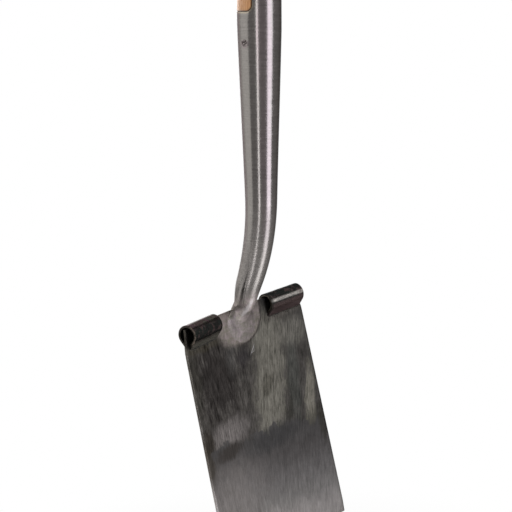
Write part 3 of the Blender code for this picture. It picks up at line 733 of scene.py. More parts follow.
@dataclass(frozen=True)
class BladeSteel:
    """Dark forged steel with scour marks, a grinder's edge across it and a bright patch at the neck."""

    stance: Stance
    patch: GroundPatch
    left_slant: float = -7.0
    right_slant: float = 17.0
    grain_slant: float = 11.0
    line_drop: float = 129.0
    line_tilt: float = 0.12
    warmth: Colour = (1.01, 1.0, 0.97)
    base: Colour = under_lamps(72, 69, 67)
    worn: Colour = under_lamps(88, 85, 82)
    bitten: Colour = under_lamps(190, 186, 186)
    tucked_shade: Colour = (0.36, 0.35, 0.33)
    upper_stains: tuple[Stain, ...] = (
        Stain(-54, 58, 37, 44, 0.0, (54, 51, 50), 0.95, 0.6),
        Stain(-89, 50, 11, 40, 0.05, (62, 60, 56), 0.7),
        Stain(-26, 44, 10, 18, 0.10, (84, 82, 81), 0.6, 0.8),
        Stain(-8, 49, 14, 11, 0.0, (60, 57, 58), 0.9, 0.7),
        Stain(-51, 114, 34, 15, 0.0, (113, 108, 107), 0.95, 0.45),
        Stain(26, 82, 27, 82, 0.28, (116, 113, 106), 1.0, 0.40),
        Stain(20, 84, 9, 12, 0.3, (88, 85, 78), 0.7),
        Stain(20, 38, 13, 13, 0.3, (117, 114, 107), 0.8),
        Stain(36, 27, 16, 18, 0.2, (122, 119, 112), 0.7),
        Stain(61, 92, 10, 54, 0.16, (80, 80, 77), 0.9),
        Stain(47, 122, 5, 16, 0.3, (62, 61, 57), 0.7),
        Stain(72, 43, 23, 17, 0.0, (118, 115, 109), 0.8),
        Stain(79, 118, 9, 36, 0.22, (130, 126, 117), 0.9, 0.4),
        Stain(-88, 112, 9, 15, 0.0, (61, 57, 53), 0.95, 0.4),
        Stain(60, 20, 38, 7, 0.0, (93, 89, 84), 0.7),
        Stain(-64, 22, 34, 6, 0.0, (72, 68, 60), 0.7),
    )
    lower_stains: tuple[Stain, ...] = (
        Stain(-70, 180, 62, 46, 0.0, (129, 124, 123), 0.75, 0.8),
        Stain(-60, 130, 24, 9, 0.0, (66, 62, 60), 0.9, 0.5),
        Stain(-92, 132, 7, 20, 0.0, (66, 61, 55), 0.7),
        Stain(12, 140, 46, 13, -0.3, (68, 67, 68), 0.75),
        Stain(76, 137, 8, 11, 0.1, (98, 95, 87), 0.8, 0.5),
        Stain(90, 150, 7, 24, 0.0, (60, 58, 53), 0.7),
    )
    lower_stops: tuple[tuple[float, Colour], ...] = (
        (0.05, under_lamps(77, 75, 75)), (0.22, under_lamps(84, 81, 81)),
        (0.36, under_lamps(95, 92, 92)), (0.50, under_lamps(109, 106, 106)),
        (0.68, under_lamps(123, 120, 119)), (0.86, under_lamps(149, 144, 143)),
    )
    scuffs: tuple[Scuff, ...] = (
        Scuff(8.5, -45.5, 44.0, 8.5, 0.65),
        Scuff(10.8, -45.0, 80.0, 4.5, 0.5),
        Scuff(8.0, -48.2, 14.0, 3.5, 0.4),
    )

    def crossed_strokes(self, spot: Spot, wander: Signal) -> Signal:
        """Strokes that lean to the left on the blade's left side and to the right on its right."""
        to_right = (spot.across + wander.swing(40.0)).rise(-14.0, 8.0)
        return spot.strokes(self.left_slant) * (1.0 - to_right) + spot.strokes(self.right_slant) * to_right

    def lower_tone(self, spot: Spot) -> Signal:
        """The smoother steel of the blade's lower half, which lightens towards its cutting edge."""
        broad = spot.board.cloud(spot.place, 0.020, 3.0)
        streaks = spot.board.cloud(spot.place, (0.26, 0.26, 0.010), 4.0, 0.6)
        depth = broad.swing(24.0) + streaks.swing(18.0) - spot.height - spot.across * 0.13
        return spot.board.ramp((depth - 130.0) / 110.0, self.lower_stops)

    def stained(self, spot: Spot, wander: Signal, strokes: Signal, below: Signal) -> Signal:
        """The steel's cloudy patches.

        Args:
            spot: The place on the blade.
            wander: Its slow noise.
            strokes: Its leaning strokes.
            below: 1 on its smoother lower half.

        Returns:
            The colour.
        """
        ragged = wander.swing(1.5) + strokes.swing(1.5)
        colour = spot.board.mix(wander.swing(1.6) + 0.2, self.base, self.worn)
        for stain in self.upper_stains:
            colour = stain.lay_on(spot, colour, ragged)
        colour = spot.board.mix(below, colour, self.lower_tone(spot))
        for stain in self.lower_stains:
            colour = stain.lay_on(spot, colour, ragged)
        return colour

    def scuffed(self, spot: Spot, grain: Signal) -> Signal:
        """Where a tool's strokes show on the blade's front, broken up by the grain."""
        total = self.scuffs[0].cover(spot)
        for scuff in self.scuffs[1:]:
            total = total.most(scuff.cover(spot))
        return total * (grain * 3.0 - 0.8).held(0.0, 0.8) * spot.ahead().rise(-0.6, 0.6)

    def make(self) -> Finish:
        """Build the material."""
        board = Board(bpy.data.materials.new("scoured_blade_steel"))
        spot = Spot(board, self.stance)
        wander = spot.wander()
        strokes = self.crossed_strokes(spot, wander)
        fine = spot.grain(self.grain_slant)
        scratches = spot.lines(self.grain_slant, (1.5, 1.5, 0.045), 3.0, 0.6).rise(0.57, 0.70)
        line = wander.swing(44.0) + strokes.swing(22.0) - spot.across * self.line_tilt - self.line_drop
        below = (line - spot.height).rise(-1.5, 2.0)
        reach = self.patch.reach(spot, wander)

        colour = self.patch.lay_on(spot, self.stained(spot, wander, strokes, below), reach)
        calm = (1.0 - below * 0.60) * (1.0 - reach.fall(0.8, 1.05) * 0.55)
        vary = strokes.swing(2.4) + fine.swing(3.2) + scratches * 0.5 + wander.swing(0.8)
        # Painted light: the steel is painted lighter towards the left, where the lamps reach it less.
        colour = board.shade(colour, ((vary * calm + 0.97) * spot.painted_light_balance()).most(0.1))
        tucked = abs(spot.across).rise(85.3, 86.3) * spot.height.rise(-19.0, -15.0)
        colour = board.multiply(board.multiply(colour, self.warmth), self.tucked_shade, tucked)
        return board.finish({
            "Base Color": board.mix(self.scuffed(spot, fine), colour, self.bitten), "Metallic": 1.0,
            "Roughness": fine.swing(0.20) + wander.swing(0.16) + 0.42,
            "Specular Tint": (0.45, 0.45, 0.45),
            "Normal": board.bump(fine * 0.6 + strokes * 0.4, 0.00004, 0.5),
        })


@dataclass(frozen=True)
class SocketSteel:
    """Linished steel with fine marks across its length, blended into the ground patch at its foot."""

    stance: Stance
    patch: GroundPatch
    socket: "Socket"
    tone: Colour = shown(80, 77, 75)
    mauve: Colour = shown(83, 77, 77)
    flat_shade: float = 0.96
    crown_height: float = 1.5
    face: float = 1.3
    grinding_slant: float = 5.0
    streak_across: float = -5.4
    streak_lean: float = 0.28
    highlight_streak: Colour = shown(150, 145, 144)
    rim_highlight: Colour = (1.6, 1.5, 1.3)

    def upper_colour(self, spot: Spot, neck: Signal, ripple: Signal, specks: Signal) -> Signal:
        """The round socket and its neck, with a painted highlight along the mouth's rim and painted light,
        shade and reflection tint.

        Args:
            spot: The place, as measured on the blade.
            neck: 1 in the neck and 0 where the socket is full and round.
            ripple: The marks of the belt.
            specks: Fine grain.

        Returns:
            The colour.
        """
        board = spot.board
        x, y, z = board.split(board.place())
        broad = board.cloud(board.place(1 / MM), (0.09, 0.09, 0.014))
        turn = self.stance.turn_at(x, y) + broad.swing(0.5)
        # Painted reflection: a mauve tint in bands at set angles round the socket, for the colour its
        # surroundings give it there.
        beside_seam = turn.rise(0.24, 0.40) * turn.fall(0.85, 1.0)
        reflected_tint = beside_seam.most(turn.rise(1.95, 2.10)) * (1.0 - neck)
        # Painted shade: both flanks towards the back are painted darker above the foot.
        dull = turn.rise(1.82, 1.98) * spot.height.rise(15.0, 45.0) * 0.17
        # Painted light: the neck is painted lighter, for the highlights that spread over its rougher steel,
        # and the back shell less so, to damp the side lamp's reflection there.
        lift = neck * (0.70 - board.attribute("behind") * 0.50)
        marks = ripple.swing(0.9) + (specks - 0.5) * (neck * 0.8 + 0.5) + lift - dull + 1.0
        colour = board.shade(board.mix(reflected_tint, self.tone, self.mauve), marks)
        # Painted highlight: a bright band just under the mouth's rounded rim and the strap's edges, where the
        # edge catches the light.
        inside = self.socket.rim_distance(board) + specks.swing(0.0006)
        worn = inside.rise(-0.0017, -0.0010) * (z - self.socket.mouth_z).fall(0.004, 0.012)
        return board.multiply(colour, self.rim_highlight, worn)

    def foot_colour(self, spot: Spot, reach: Signal, specks: Signal) -> Signal:
        """The welded foot, ground and blended with the patch on the blade, with painted shade and light by
        its slope and a painted highlight running down from the neck.

        Args:
            spot: The place on the blade.
            reach: How far out on the patch it lies.
            specks: Fine grain.

        Returns:
            The colour.
        """
        across, height = spot.across, spot.height
        # Painted shade and light by slope: the swelling's skirt is painted darker at its left, and its crown
        # darker at the left and lighter at the right and where it stands furthest out, to even out its
        # reflections.
        proud = spot.ahead() - self.face
        crowned = proud.rise(0.0, self.crown_height)
        flat = spot.painted_light_balance() * (self.flat_shade - across.fall(-26.0, -8.0) * 0.20)
        corner = across.fall(-15.0, -3.0) * height.rise(-12.0, -6.0) * 0.15
        lit = (across.rise(-20.0, 0.0) + corner + 0.30) * (proud.rise(3.0, 6.0) * 0.45 + 1.0)
        marks = spot.strokes(self.grinding_slant).swing(1.1) + spot.grain().swing(1.4)
        texture = marks + specks.swing(0.3) + 1.0
        colour = self.patch.lay_on(spot, self.patch.pink, reach)
        colour = spot.board.shade(colour, (flat * (1.0 - crowned) + crowned * lit) * texture)
        # Painted highlight: a bright band that carries the neck's highlight down onto the swelling.
        aside = across - self.streak_across - height.most(0.0) * self.streak_lean + specks.swing(5.0)
        highlight_streak = abs(aside).fall(0.8, 3.0) * height.rise(-10.5, -5.5) * height.fall(4.0, 12.0)
        return spot.board.mix(highlight_streak * 0.75, colour, self.highlight_streak)

    def make(self) -> Finish:
        """Build the material."""
        board = Board(bpy.data.materials.new("linished_socket_steel"))
        place = board.place(1 / MM)
        ripple = board.cloud(place, (0.06, 0.06, 0.9), 4.0, 0.75)
        lumps = board.cloud(place, (0.22, 0.22, 0.55), 2.0, 0.6)
        specks = board.cloud(place, (0.7, 0.7, 0.5), 4.0, 0.7)
        spot = Spot(board, self.stance)
        wander = spot.wander()
        neck = spot.height.fall(20.0, 130.0)
        foot = (spot.height + wander.swing(14.0)).fall(2.0, 20.0)
        colour = board.mix(foot, self.upper_colour(spot, neck, ripple, specks),
                           self.foot_colour(spot, self.patch.reach(spot, wander), specks))
        return board.finish({
            "Base Color": colour, "Metallic": 1.0,
            "Roughness": ripple.swing(0.20) + specks.swing(0.12) + foot * 0.26 + neck * 0.07 + 0.20,
            "Specular Tint": (0.40, 0.40, 0.40),
            "Normal": board.bump(ripple * 0.9 + specks * 0.3 + lumps * 1.2, 0.00006, 0.6),
        })


@dataclass(frozen=True)
class ForgeScale:
    """Near-black scale on the rolled treads, rubbed at their ends, with painted light on their tops and legs,
    a painted highlight stripe and painted shade in their openings.
    """

    stance: Stance
    near_end: float = 42.5
    line_drop: float = 13.4
    stripe_drop: float = 4.4
    hollow_middle: tuple[float, float] = (1.8, -6.2)
    hollow_radius: float = 8.45
    black: Colour = shown(31, 30, 29)
    green: Colour = shown(31, 34, 32)
    mauve: Colour = shown(94, 77, 80)
    olive: Colour = shown(87, 84, 77)
    inner: Colour = shown(74, 69, 61)
    brown: Colour = shown(66, 55, 54)
    rubbed: Colour = shown(70, 62, 56)
    hollow_shade: Colour = shown(25, 23, 20)
    edge: Colour = shown(104, 98, 92)
    stripe_highlight: Colour = shown(160, 155, 150)

    def scaled(self, spot: Spot, wander: Signal, right: Signal) -> Signal:
        """The dark scale with painted light, before its ends are worn: lighter tints on the left tread's top
        and a brown band below the right tread's stripe.
        """
        board, place = spot.board, spot.place
        tints = board.mix(board.cloud(place, 0.09, 2.0).rise(0.44, 0.56), self.mauve, self.olive)
        # Painted light: lighter tints on the left tread's top and a brown band under the right tread's
        # stripe.
        on_top = (spot.height + wander.swing(14.0)).rise(-4.0, 3.0) * spot.across.fall(-40.0, -20.0)
        below_stripe = (spot.height + wander.swing(3.0)).fall(-9.0, -6.5) * right
        colour = board.mix(board.cloud(place, 0.16, 3.0).rise(0.45, 0.55), self.black, self.green)
        colour = board.mix(on_top * 0.8, colour, tints)
        colour = board.mix(wander.rise(0.50, 0.60) * 0.85, colour, self.brown)
        return board.mix(below_stripe * 0.85, colour, self.brown)

    def worn(self, spot: Spot, colour: Signal, wander: Signal, right: Signal, near_end: Signal) -> Signal:
        """The tread's ends, painted dark for the shade in their openings and rubbed bare in front, and the
        inside of its roll, painted dark as shade on the left tread and lighter on the right one as painted
        light.

        Args:
            spot: The place on the blade.
            colour: The tread's outside.
            wander: Noise that shapes the patches.
            right: 0 on the left tread and 1 on the right one.
            near_end: 1 at the right tread's end by the socket.

        Returns:
            The colour.
        """
        board, ahead = spot.board, spot.ahead()
        forward, up = self.hollow_middle
        rim = board.attribute("rim") * spot.across.fall(-60.0, -30.0)
        rubbed = rim * ahead.rise(3.0, 8.0) * wander.rise(0.36, 0.50)
        hollow = ((ahead - forward).hypot(spot.height - up) - self.hollow_radius).fall(-0.35, 0.35)
        # Painted shade at the ends and inside the roll; the right tread's inside is painted lighter, as
        # painted light.
        colour = board.mix(near_end * 0.8, colour, self.hollow_shade)
        colour = board.mix(rim * 0.9, colour, self.hollow_shade)
        colour = board.mix(rubbed * 0.9, colour, self.rubbed)
        return board.mix(hollow, colour, board.mix(right, self.hollow_shade, self.inner))

    def make(self) -> Finish:
        """Build the material."""
        board = Board(bpy.data.materials.new("forge_scale_steel"))
        spot = Spot(board, self.stance)
        across, height = spot.across, spot.height
        wander = board.cloud(spot.place, 0.13, 4.0, 0.6)
        grain = board.cloud(spot.place, 0.9, 4.0, 0.7)
        drawn = board.cloud(spot.place, (0.10, 1.2, 1.2), 3.0, 0.6)
        right = across.rise(-10.0, 10.0)
        # Painted light: the legs are painted lighter, and the left tread gets a light line along the foot of
        # its roll.
        leg = (height + grain.swing(4.0) + wander.swing(5.0)).fall(-15.5, -12.0)
        line = abs(height + self.line_drop + wander.swing(2.4)).fall(0.15, 0.9) * across.fall(-30.0, -10.0)
        # Painted highlight: a bright stripe along the right tread's roll.
        stripe_band = abs(height + self.stripe_drop).fall(0.3, 2.6) * right * (drawn * 1.8 - 0.1).least(1.0)
        # Painted shade: the right tread's end by the socket is painted dark, for the shade in its opening.
        near_end = (across + wander.swing(1.0) - self.near_end).fall(-0.7, 0.7) * right

        colour = self.scaled(spot, wander, right)
        # Painted light on the legs and along the roll's foot.
        colour = board.mix(leg * 0.9, colour, board.mix(right, self.olive, self.brown))
        colour = board.mix(line * (drawn * 2.0 - 0.4).held(0.0, 1.0) * 0.9, colour, self.edge)
        # Painted highlight stripe on the right tread.
        colour = board.mix(stripe_band, colour, self.stripe_highlight)
        colour = board.shade(colour, grain.swing(2.4) + drawn.swing(1.2) + 1.0)
        return board.finish({
            "Base Color": self.worn(spot, colour, wander, right, near_end), "Metallic": 0.9,
            "Roughness": grain.swing(0.22) + leg * 0.2 + near_end * 0.3 + 0.25,
            "Specular Tint": (0.4, 0.4, 0.4),
            "Normal": board.bump(grain * 0.5 + drawn * 0.5, 0.00006, 0.5),
        })


@dataclass(frozen=True)
class WeldSteel:
    """The rippled beads along the treads."""

    blue: Colour = shown(30, 29, 28)
    straw: Colour = shown(50, 47, 42)

    def make(self) -> Finish:
        """Build the material."""
        board = Board(bpy.data.materials.new("weld_bead_steel"))
        place = board.place(1 / MM)
        wander = board.cloud(place, 0.3, 3.0)
        grain = board.cloud(place, 2.2, 3.0, 0.6)
        colour = board.mix((wander * 0.6 + grain * 0.4).rise(0.36, 0.62), self.blue, self.straw)
        return board.finish({
            "Base Color": colour, "Metallic": 1.0,
            "Roughness": grain.swing(0.3) + 0.38,
            "Normal": board.bump(grain, 0.00008, 0.6),
        })


@dataclass(frozen=True)
class PeenedSteel:
    """Hammered rivets and washers, dull in their dents and bright on their crowns."""

    light: Colour = shown(112, 107, 103)
    dark: Colour = shown(70, 66, 63)

    def make(self) -> Finish:
        """Build the material."""
        board = Board(bpy.data.materials.new("peened_rivet_steel"))
        place = board.place(1 / MM)
        dents = board.cells(place, 0.55)
        grain = board.cloud(place, 1.6, 4.0, 0.65)
        colour = board.mix((dents * 0.9 + grain.swing(1.4)).rise(0.15, 0.75), self.dark, self.light)
        return board.finish({
            "Base Color": colour, "Metallic": 1.0,
            "Roughness": grain.swing(0.3) + 0.34,
            "Normal": board.bump(dents * 0.6 + grain * 0.4, 0.00008, 0.5),
        })


@dataclass(frozen=True)
class FiledSteel:
    """A rivet filed down almost to the socket's surface, still pitted by the hammer."""

    centre: Point
    clean: Colour = shown(82, 76, 76)
    pit: Colour = shown(28, 24, 23)
    bright: Colour = shown(118, 110, 108)

    def make(self) -> Finish:
        """Build the material."""
        board = Board(bpy.data.materials.new("filed_rivet_steel"))
        place = board.place(1 / MM)
        pits = board.cloud(place, 0.62, 3.0, 0.6, 0.8)
        grain = board.cloud(place, 1.4, 3.0, 0.65)
        _, y, z = board.split(place)
        off_centre = (y - self.centre[1] / MM).hypot(z - self.centre[2] / MM)
        inner = (off_centre + grain.swing(2.0)).fall(2.2, 4.6)
        depth = (pits * 0.75 + grain * 0.25).rise(0.47, 0.53) * inner
        glint = board.cloud(place, 1.1, 2.0, 0.5).rise(0.60, 0.68) * inner
        colour = board.mix(glint, board.mix(depth, self.clean, self.pit), self.bright)
        return board.finish({
            "Base Color": colour, "Metallic": 1.0,
            "Roughness": grain.swing(0.2) + depth * 0.3 + 0.22,
            "Specular Tint": (0.40, 0.40, 0.40),
            "Normal": board.bump(grain * 0.2 - depth, 0.00012, 0.7),
        })


@dataclass(frozen=True)
class AshWood:
    """Oiled ash: long open-pored grain, growth lines that run with the piece, and painted shade in the gap by
    the steel.
    """

    socket: "Socket"
    pale: Colour = shown(199, 147, 97)
    tan: Colour = shown(168, 110, 62)
    pore: Colour = shown(120, 74, 40)
    gap_shade: Colour = shown(50, 32, 22)
    ring_gap: float = 2.6
    pith: tuple[float, float] = (31.0, 74.0)
    lean: float = 0.012

    def make(self) -> Finish:
        """Build the material."""
        board = Board(bpy.data.materials.new("oiled_ash"))
        place = board.place(1 / MM, attribute="grain")
        drift = board.cloud(board.move(place, (1.0, 1.0, 0.10)), 0.03, 3.0)
        x, y, z = board.split(place)
        aside = x + self.pith[0] + z * self.lean + drift.swing(12.0)
        deep = y + self.pith[1] + drift.swing(8.0)
        rings = (aside.hypot(deep) / self.ring_gap).part()
        late = rings.rise(0.30, 0.92) * rings.fall(0.92, 1.0)
        fibres = board.cloud(place, (2.4, 2.4, 0.035), 4.0, 0.7)
        pores = board.cloud(place, (5.5, 5.5, 0.16), 2.0, 0.6)
        broad = board.cloud(place, (0.05, 0.05, 0.012), 2.0)
        colour = board.mix(late * 0.70 + broad.swing(0.9) + 0.08, self.pale, self.tan)
        open_pores = pores.fall(0.32, 0.46) * (1.0 - late).rise(0.2, 0.9)
        colour = board.mix(open_pores * 0.70, colour, self.pore)
        colour = board.shade(colour, fibres.swing(0.45) + 1.0)
        # Painted shade: the wood is darkened in a thin band along the socket's rim and the strap's edges, for
        # the shadow in the gap there.
        gap_shade_reach = self.socket.rim_distance(board) / MM + fibres.swing(0.7)
        colour = board.mix(gap_shade_reach.fall(0.5, 2.0) * 0.9, colour, self.gap_shade)
        return board.finish({
            "Base Color": colour, "Metallic": 0.0,
            "Roughness": fibres.swing(0.2) + open_pores * 0.15 + 0.46,
            "Specular IOR Level": 0.25, "Coat Weight": 0.05, "Coat Roughness": 0.35,
            "Normal": board.bump(fibres * 0.4 - open_pores * 0.6, 0.00012, 0.5),
        })


@dataclass
class Blade:
    """The dished steel plate, ground thin at its cutting edge."""

    stance: Stance
    top_width: float = 0.184
    edge_width: float = 0.195
    thickness: float = 0.0026
    grind_height: float = 0.013
    grind_thickness: float = 0.0012
    worn: float = 0.0005
    corner_crop: float = 0.0047
    corner_height: float = 0.024
    waviness: float = 0.00005
    wave_rate: float = 22
    nick_depth: float = 0.0003
    nick_rate: float = 120
    nick_least: float = 0.1
    columns: int = 72
    row_height: float = 0.0055

    def dish(self, across: float) -> float:
        """How far the blade's middle comes forward of its centre line."""
        return self.stance.dish_radius - math.sqrt(self.stance.dish_radius**2 - across**2)

    def half_width(self, up: float) -> float:
        """Half the blade's width at a distance up from the cutting edge."""
        widest = self.edge_width / 2
        crop = self.corner_crop * smooth_rise(1 - (self.stance.blade_length - up) / self.corner_height)
        return widest + (self.top_width / 2 - widest) * up / self.stance.blade_length - crop

    def ring(self, up: float) -> Ring:
        """The plate's outline at a distance up from the cutting edge."""
        half = self.half_width(up)
        ground = min(up / self.grind_height, 1.0)
        half_thick = (self.grind_thickness + (self.thickness - self.grind_thickness) * ground) / 2
        front, back = [], []
        for i in range(self.columns + 1):
            x = -half + 2 * half * i / self.columns
            wave = noise.noise((x * self.wave_rate, up * self.wave_rate, 3.1))
            middle = -self.dish(x) - self.waviness * wave
            bite = noise.noise((x * self.nick_rate, 0.4, 7.7)) - self.nick_least
            height = up if up else self.nick_depth * max(bite, 0.0)
            front.append(self.stance.from_blade(x, middle - half_thick, height))
            back.append(self.stance.from_blade(x, middle + half_thick, height))
        return front + back[::-1]

    def build(self, finish: Finish) -> None:
        """Model the plate."""
        ups = [0.0, self.grind_height * 0.5]
        ups += steps(self.grind_height, self.stance.blade_length, self.row_height)
        ups.append(self.stance.blade_length)
        plate = Bench.loft("blade_plate", [self.ring(up) for up in ups])
        Bench.ease(plate, self.worn, segments=3)
        Bench.hand_in(plate, finish, Slot.BLADE, "blade")


@dataclass
class Tread:
    """One rolled tread, which straddles the blade's top edge, with its weld beads."""

    stance: Stance
    blade: Blade
    side: Side
    inset: float
    length: float
    radius: float = 0.0099
    wall: float = 0.0022
    centre_drop: float = 0.0062
    tip_drop: float = 0.0205
    leg_length: float = 0.004
    solid_walls: float = 2.1
    forward: float = 0.0018
    sunk: float = 0.0003
    dent: float = 0.00012
    dent_rates: tuple[float, float] = (130, 160)
    dent_shift: float = 40
    edge_round: float = 0.00045
    rim_width: float = 0.0009
    arc_steps: int = 56
    end_rows: tuple[float, ...] = (0.0007, 0.0018, 0.004)
    row_step: float = 0.0045
    plain_ends: tuple[float, float] = (0.007, 0.006)
    bead_radius: float = 0.0009
    bead_flatness: float = 0.8
    bead_shares: Point = (0.80, 0.18, 0.25)
    bead_tip: float = 0.02
    bead_out: float = 0.0002
    bead_lift: float = 0.0001
    bead_rates: tuple[float, float] = (300, 160)
    bead_short: float = 0.0006
    bead_taper: float = 0.0012
    bead_wander: float = 0.0002
    bead_step: float = 0.0004
    bead_sides: int = 16
    ripple: float = 0.0017
    spatter_places: tuple[tuple[float, float, float], ...] = (
        (-0.0150, 0.0224, 0.0008), (-0.0118, 0.0219, 0.0005), (0.0035, 0.0222, 0.0006),
        (0.0062, 0.0226, 0.0009), (0.0128, 0.0221, 0.0004), (-0.0190, 0.0236, 0.0004),
    )
    spatter_flatness: float = 0.6
    spatter_sides: int = 12

    @property
    def middle(self) -> float:
        """Where the tread's middle lies across the blade."""
        return self.side.value * (self.blade.top_width / 2 - self.inset - self.length / 2)

    def on_tread(self, along: float, forward: float, up: float) -> Point:
        """Turn a place on the tread, up from the blade's top edge, into the part's frame."""
        turn = -math.asin(self.middle / self.stance.dish_radius)
        across = self.middle + along * math.cos(turn) + forward * math.sin(turn)
        back = -self.blade.dish(self.middle) + along * math.sin(turn) - forward * math.cos(turn)
        return self.stance.from_blade(across, back, self.stance.blade_length + up)

    def side_outline(self, radius: float, face: float, drop: float) -> Profile:
        """A tube with two straight legs to the blade, as (forward, up) points from leg to leg."""
        spans = []
        for sign in (1, -1):
            dx, dy = sign * face - self.forward, self.centre_drop - drop
            spans.append(math.atan2(dy, dx) + sign * math.acos(min(radius / math.hypot(dx, dy), 1.0)))
        start, sweep = spans[0], spans[1] + 2 * math.pi - spans[0]
        points = [(face, -drop)]
        for i in range(self.arc_steps + 1):
            turn = start + sweep * i / self.arc_steps
            x, z = radius * math.cos(turn), radius * math.sin(turn)
            points.append((self.forward + x, z - self.centre_drop))
        return points + [(-face, -drop)]

    def outline(self) -> Profile:
        """The rolled strip seen along the tread, its outer side and then its inner side."""
        half = self.blade.thickness / 2
        outer = self.side_outline(self.radius, half, self.tip_drop)
        inner_drop = self.tip_drop - self.wall * self.solid_walls
        inner = self.side_outline(self.radius - self.wall, half - self.sunk, inner_drop)
        (front, low), (back, _) = outer[0], outer[-1]
        return [(front - self.sunk, low)] + outer + [(back + self.sunk, low)] + inner[::-1]

    def rows(self) -> list[float]:
        """The places along the tread of its outlines, close together at both ends."""
        half = self.length / 2
        low = [-half] + [end - half for end in self.end_rows]
        high = [half - end for end in reversed(self.end_rows)] + [half]
        first, last = self.plain_ends
        return low + steps(first - half, half - last, self.row_step) + high

    def ring(self, along: float) -> Ring:
        """The strip's outline at a place along the tread, its roll slightly dented by the hammer."""
        ring = []
        lengthwise, round_it = self.dent_rates
        for forward, up in self.outline():
            if up > self.leg_length - self.tip_drop:
                spot = (along * lengthwise + self.middle * self.dent_shift, forward * round_it, up * round_it)
                swell = 1 + self.dent * noise.noise(spot) / self.radius
                forward = self.forward + (forward - self.forward) * swell
                up = (up + self.centre_drop) * swell - self.centre_drop
            ring.append(self.on_tread(along, forward, up))
        return ring

    def rim(self, co: Vector) -> float:
        """1 at the tread's two ends, fading to 0 at a rim's width from them."""
        half = self.length / 2
        centre = Vector(self.on_tread(0, 0, 0))
        lengthwise = (Vector(self.on_tread(half, 0, 0)) - centre).normalized()
        from_end = half - abs((co - centre).dot(lengthwise))
        return smooth_rise(1 - from_end / self.rim_width)

    def build(self, finish: Finish) -> None:
        """Model the rolled strip."""
        name = f"tread_{self.side.name.lower()}"
        roll = Bench.loft(f"{name}_roll", [self.ring(along) for along in self.rows()])
        Bench.ease(roll, self.edge_round, segments=3, sharper=math.radians(60))
        # 1 at the tread's ends, where its finish paints the shade of the openings and rubbed wear.
        Bench.paint(roll, "rim", self.rim)
        Bench.hand_in(roll, finish, Slot.TREAD, name)

    def bead_ring(self, along: float, half: float, sign: int) -> Ring:
        """The rippled weld bead's outline at a place along the tread, in front (1) or behind (-1)."""
        end = min(1.0, (along + half) / self.bead_taper, (half - along) / self.bead_taper)
        wave = abs(math.sin(math.pi * along / self.ripple))
        plain, waved, uneven = self.bead_shares
        size_rate, up_rate = self.bead_rates
        swell = plain + waved * wave + uneven * noise.noise((along * size_rate, sign, 2.2))
        size = self.bead_radius * swell * math.sqrt(max(end, self.bead_tip))
        out = sign * (self.blade.thickness / 2 + self.bead_out)
        up = self.bead_lift - self.tip_drop + self.bead_wander * noise.noise((along * up_rate, sign, 5.5))
        turns = [2 * math.pi * k / self.bead_sides for k in range(self.bead_sides)]
        return [self.on_tread(along, out + size * self.bead_flatness * math.cos(turn),
                              up + size * math.sin(turn)) for turn in turns]

    def spatter(self, number: int) -> Piece:
        """A drop of weld metal stuck to the blade's face."""
        along, drop, radius = self.spatter_places[number]
        turns = [math.radians(angle) for angle in range(-80, 81, 20)]
        height = radius * self.spatter_flatness
        profile = [(radius * math.cos(turn), height * math.sin(turn)) for turn in turns]
        place = self.on_tread(along, self.blade.thickness / 2, -drop)
        return Bench.turned(f"spatter_{number}", profile, Axis.Y, place, self.spatter_sides)

    def build_beads(self, finish: Finish) -> None:
        """Model the weld bead under each leg and a few drops of spatter in front."""
        half = self.length / 2 - self.bead_short
        beads = []
        for sign in (1, -1):
            rings = [self.bead_ring(along, half, sign) for along in steps(-half, half, self.bead_step)]
            beads.append(Bench.loft(f"bead_{sign}", rings))
        beads += [self.spatter(i) for i in range(len(self.spatter_places))]
        welds = Bench.join(f"weld_beads_{self.side.name.lower()}", beads)
        Bench.hand_in(welds, finish, Slot.TREAD)


@dataclass(frozen=True)
class Section:
    """The socket's outline at one height."""

    front: float
    middle: float
    back: float
    front_half: float
    back_half: float
    hollowness: float


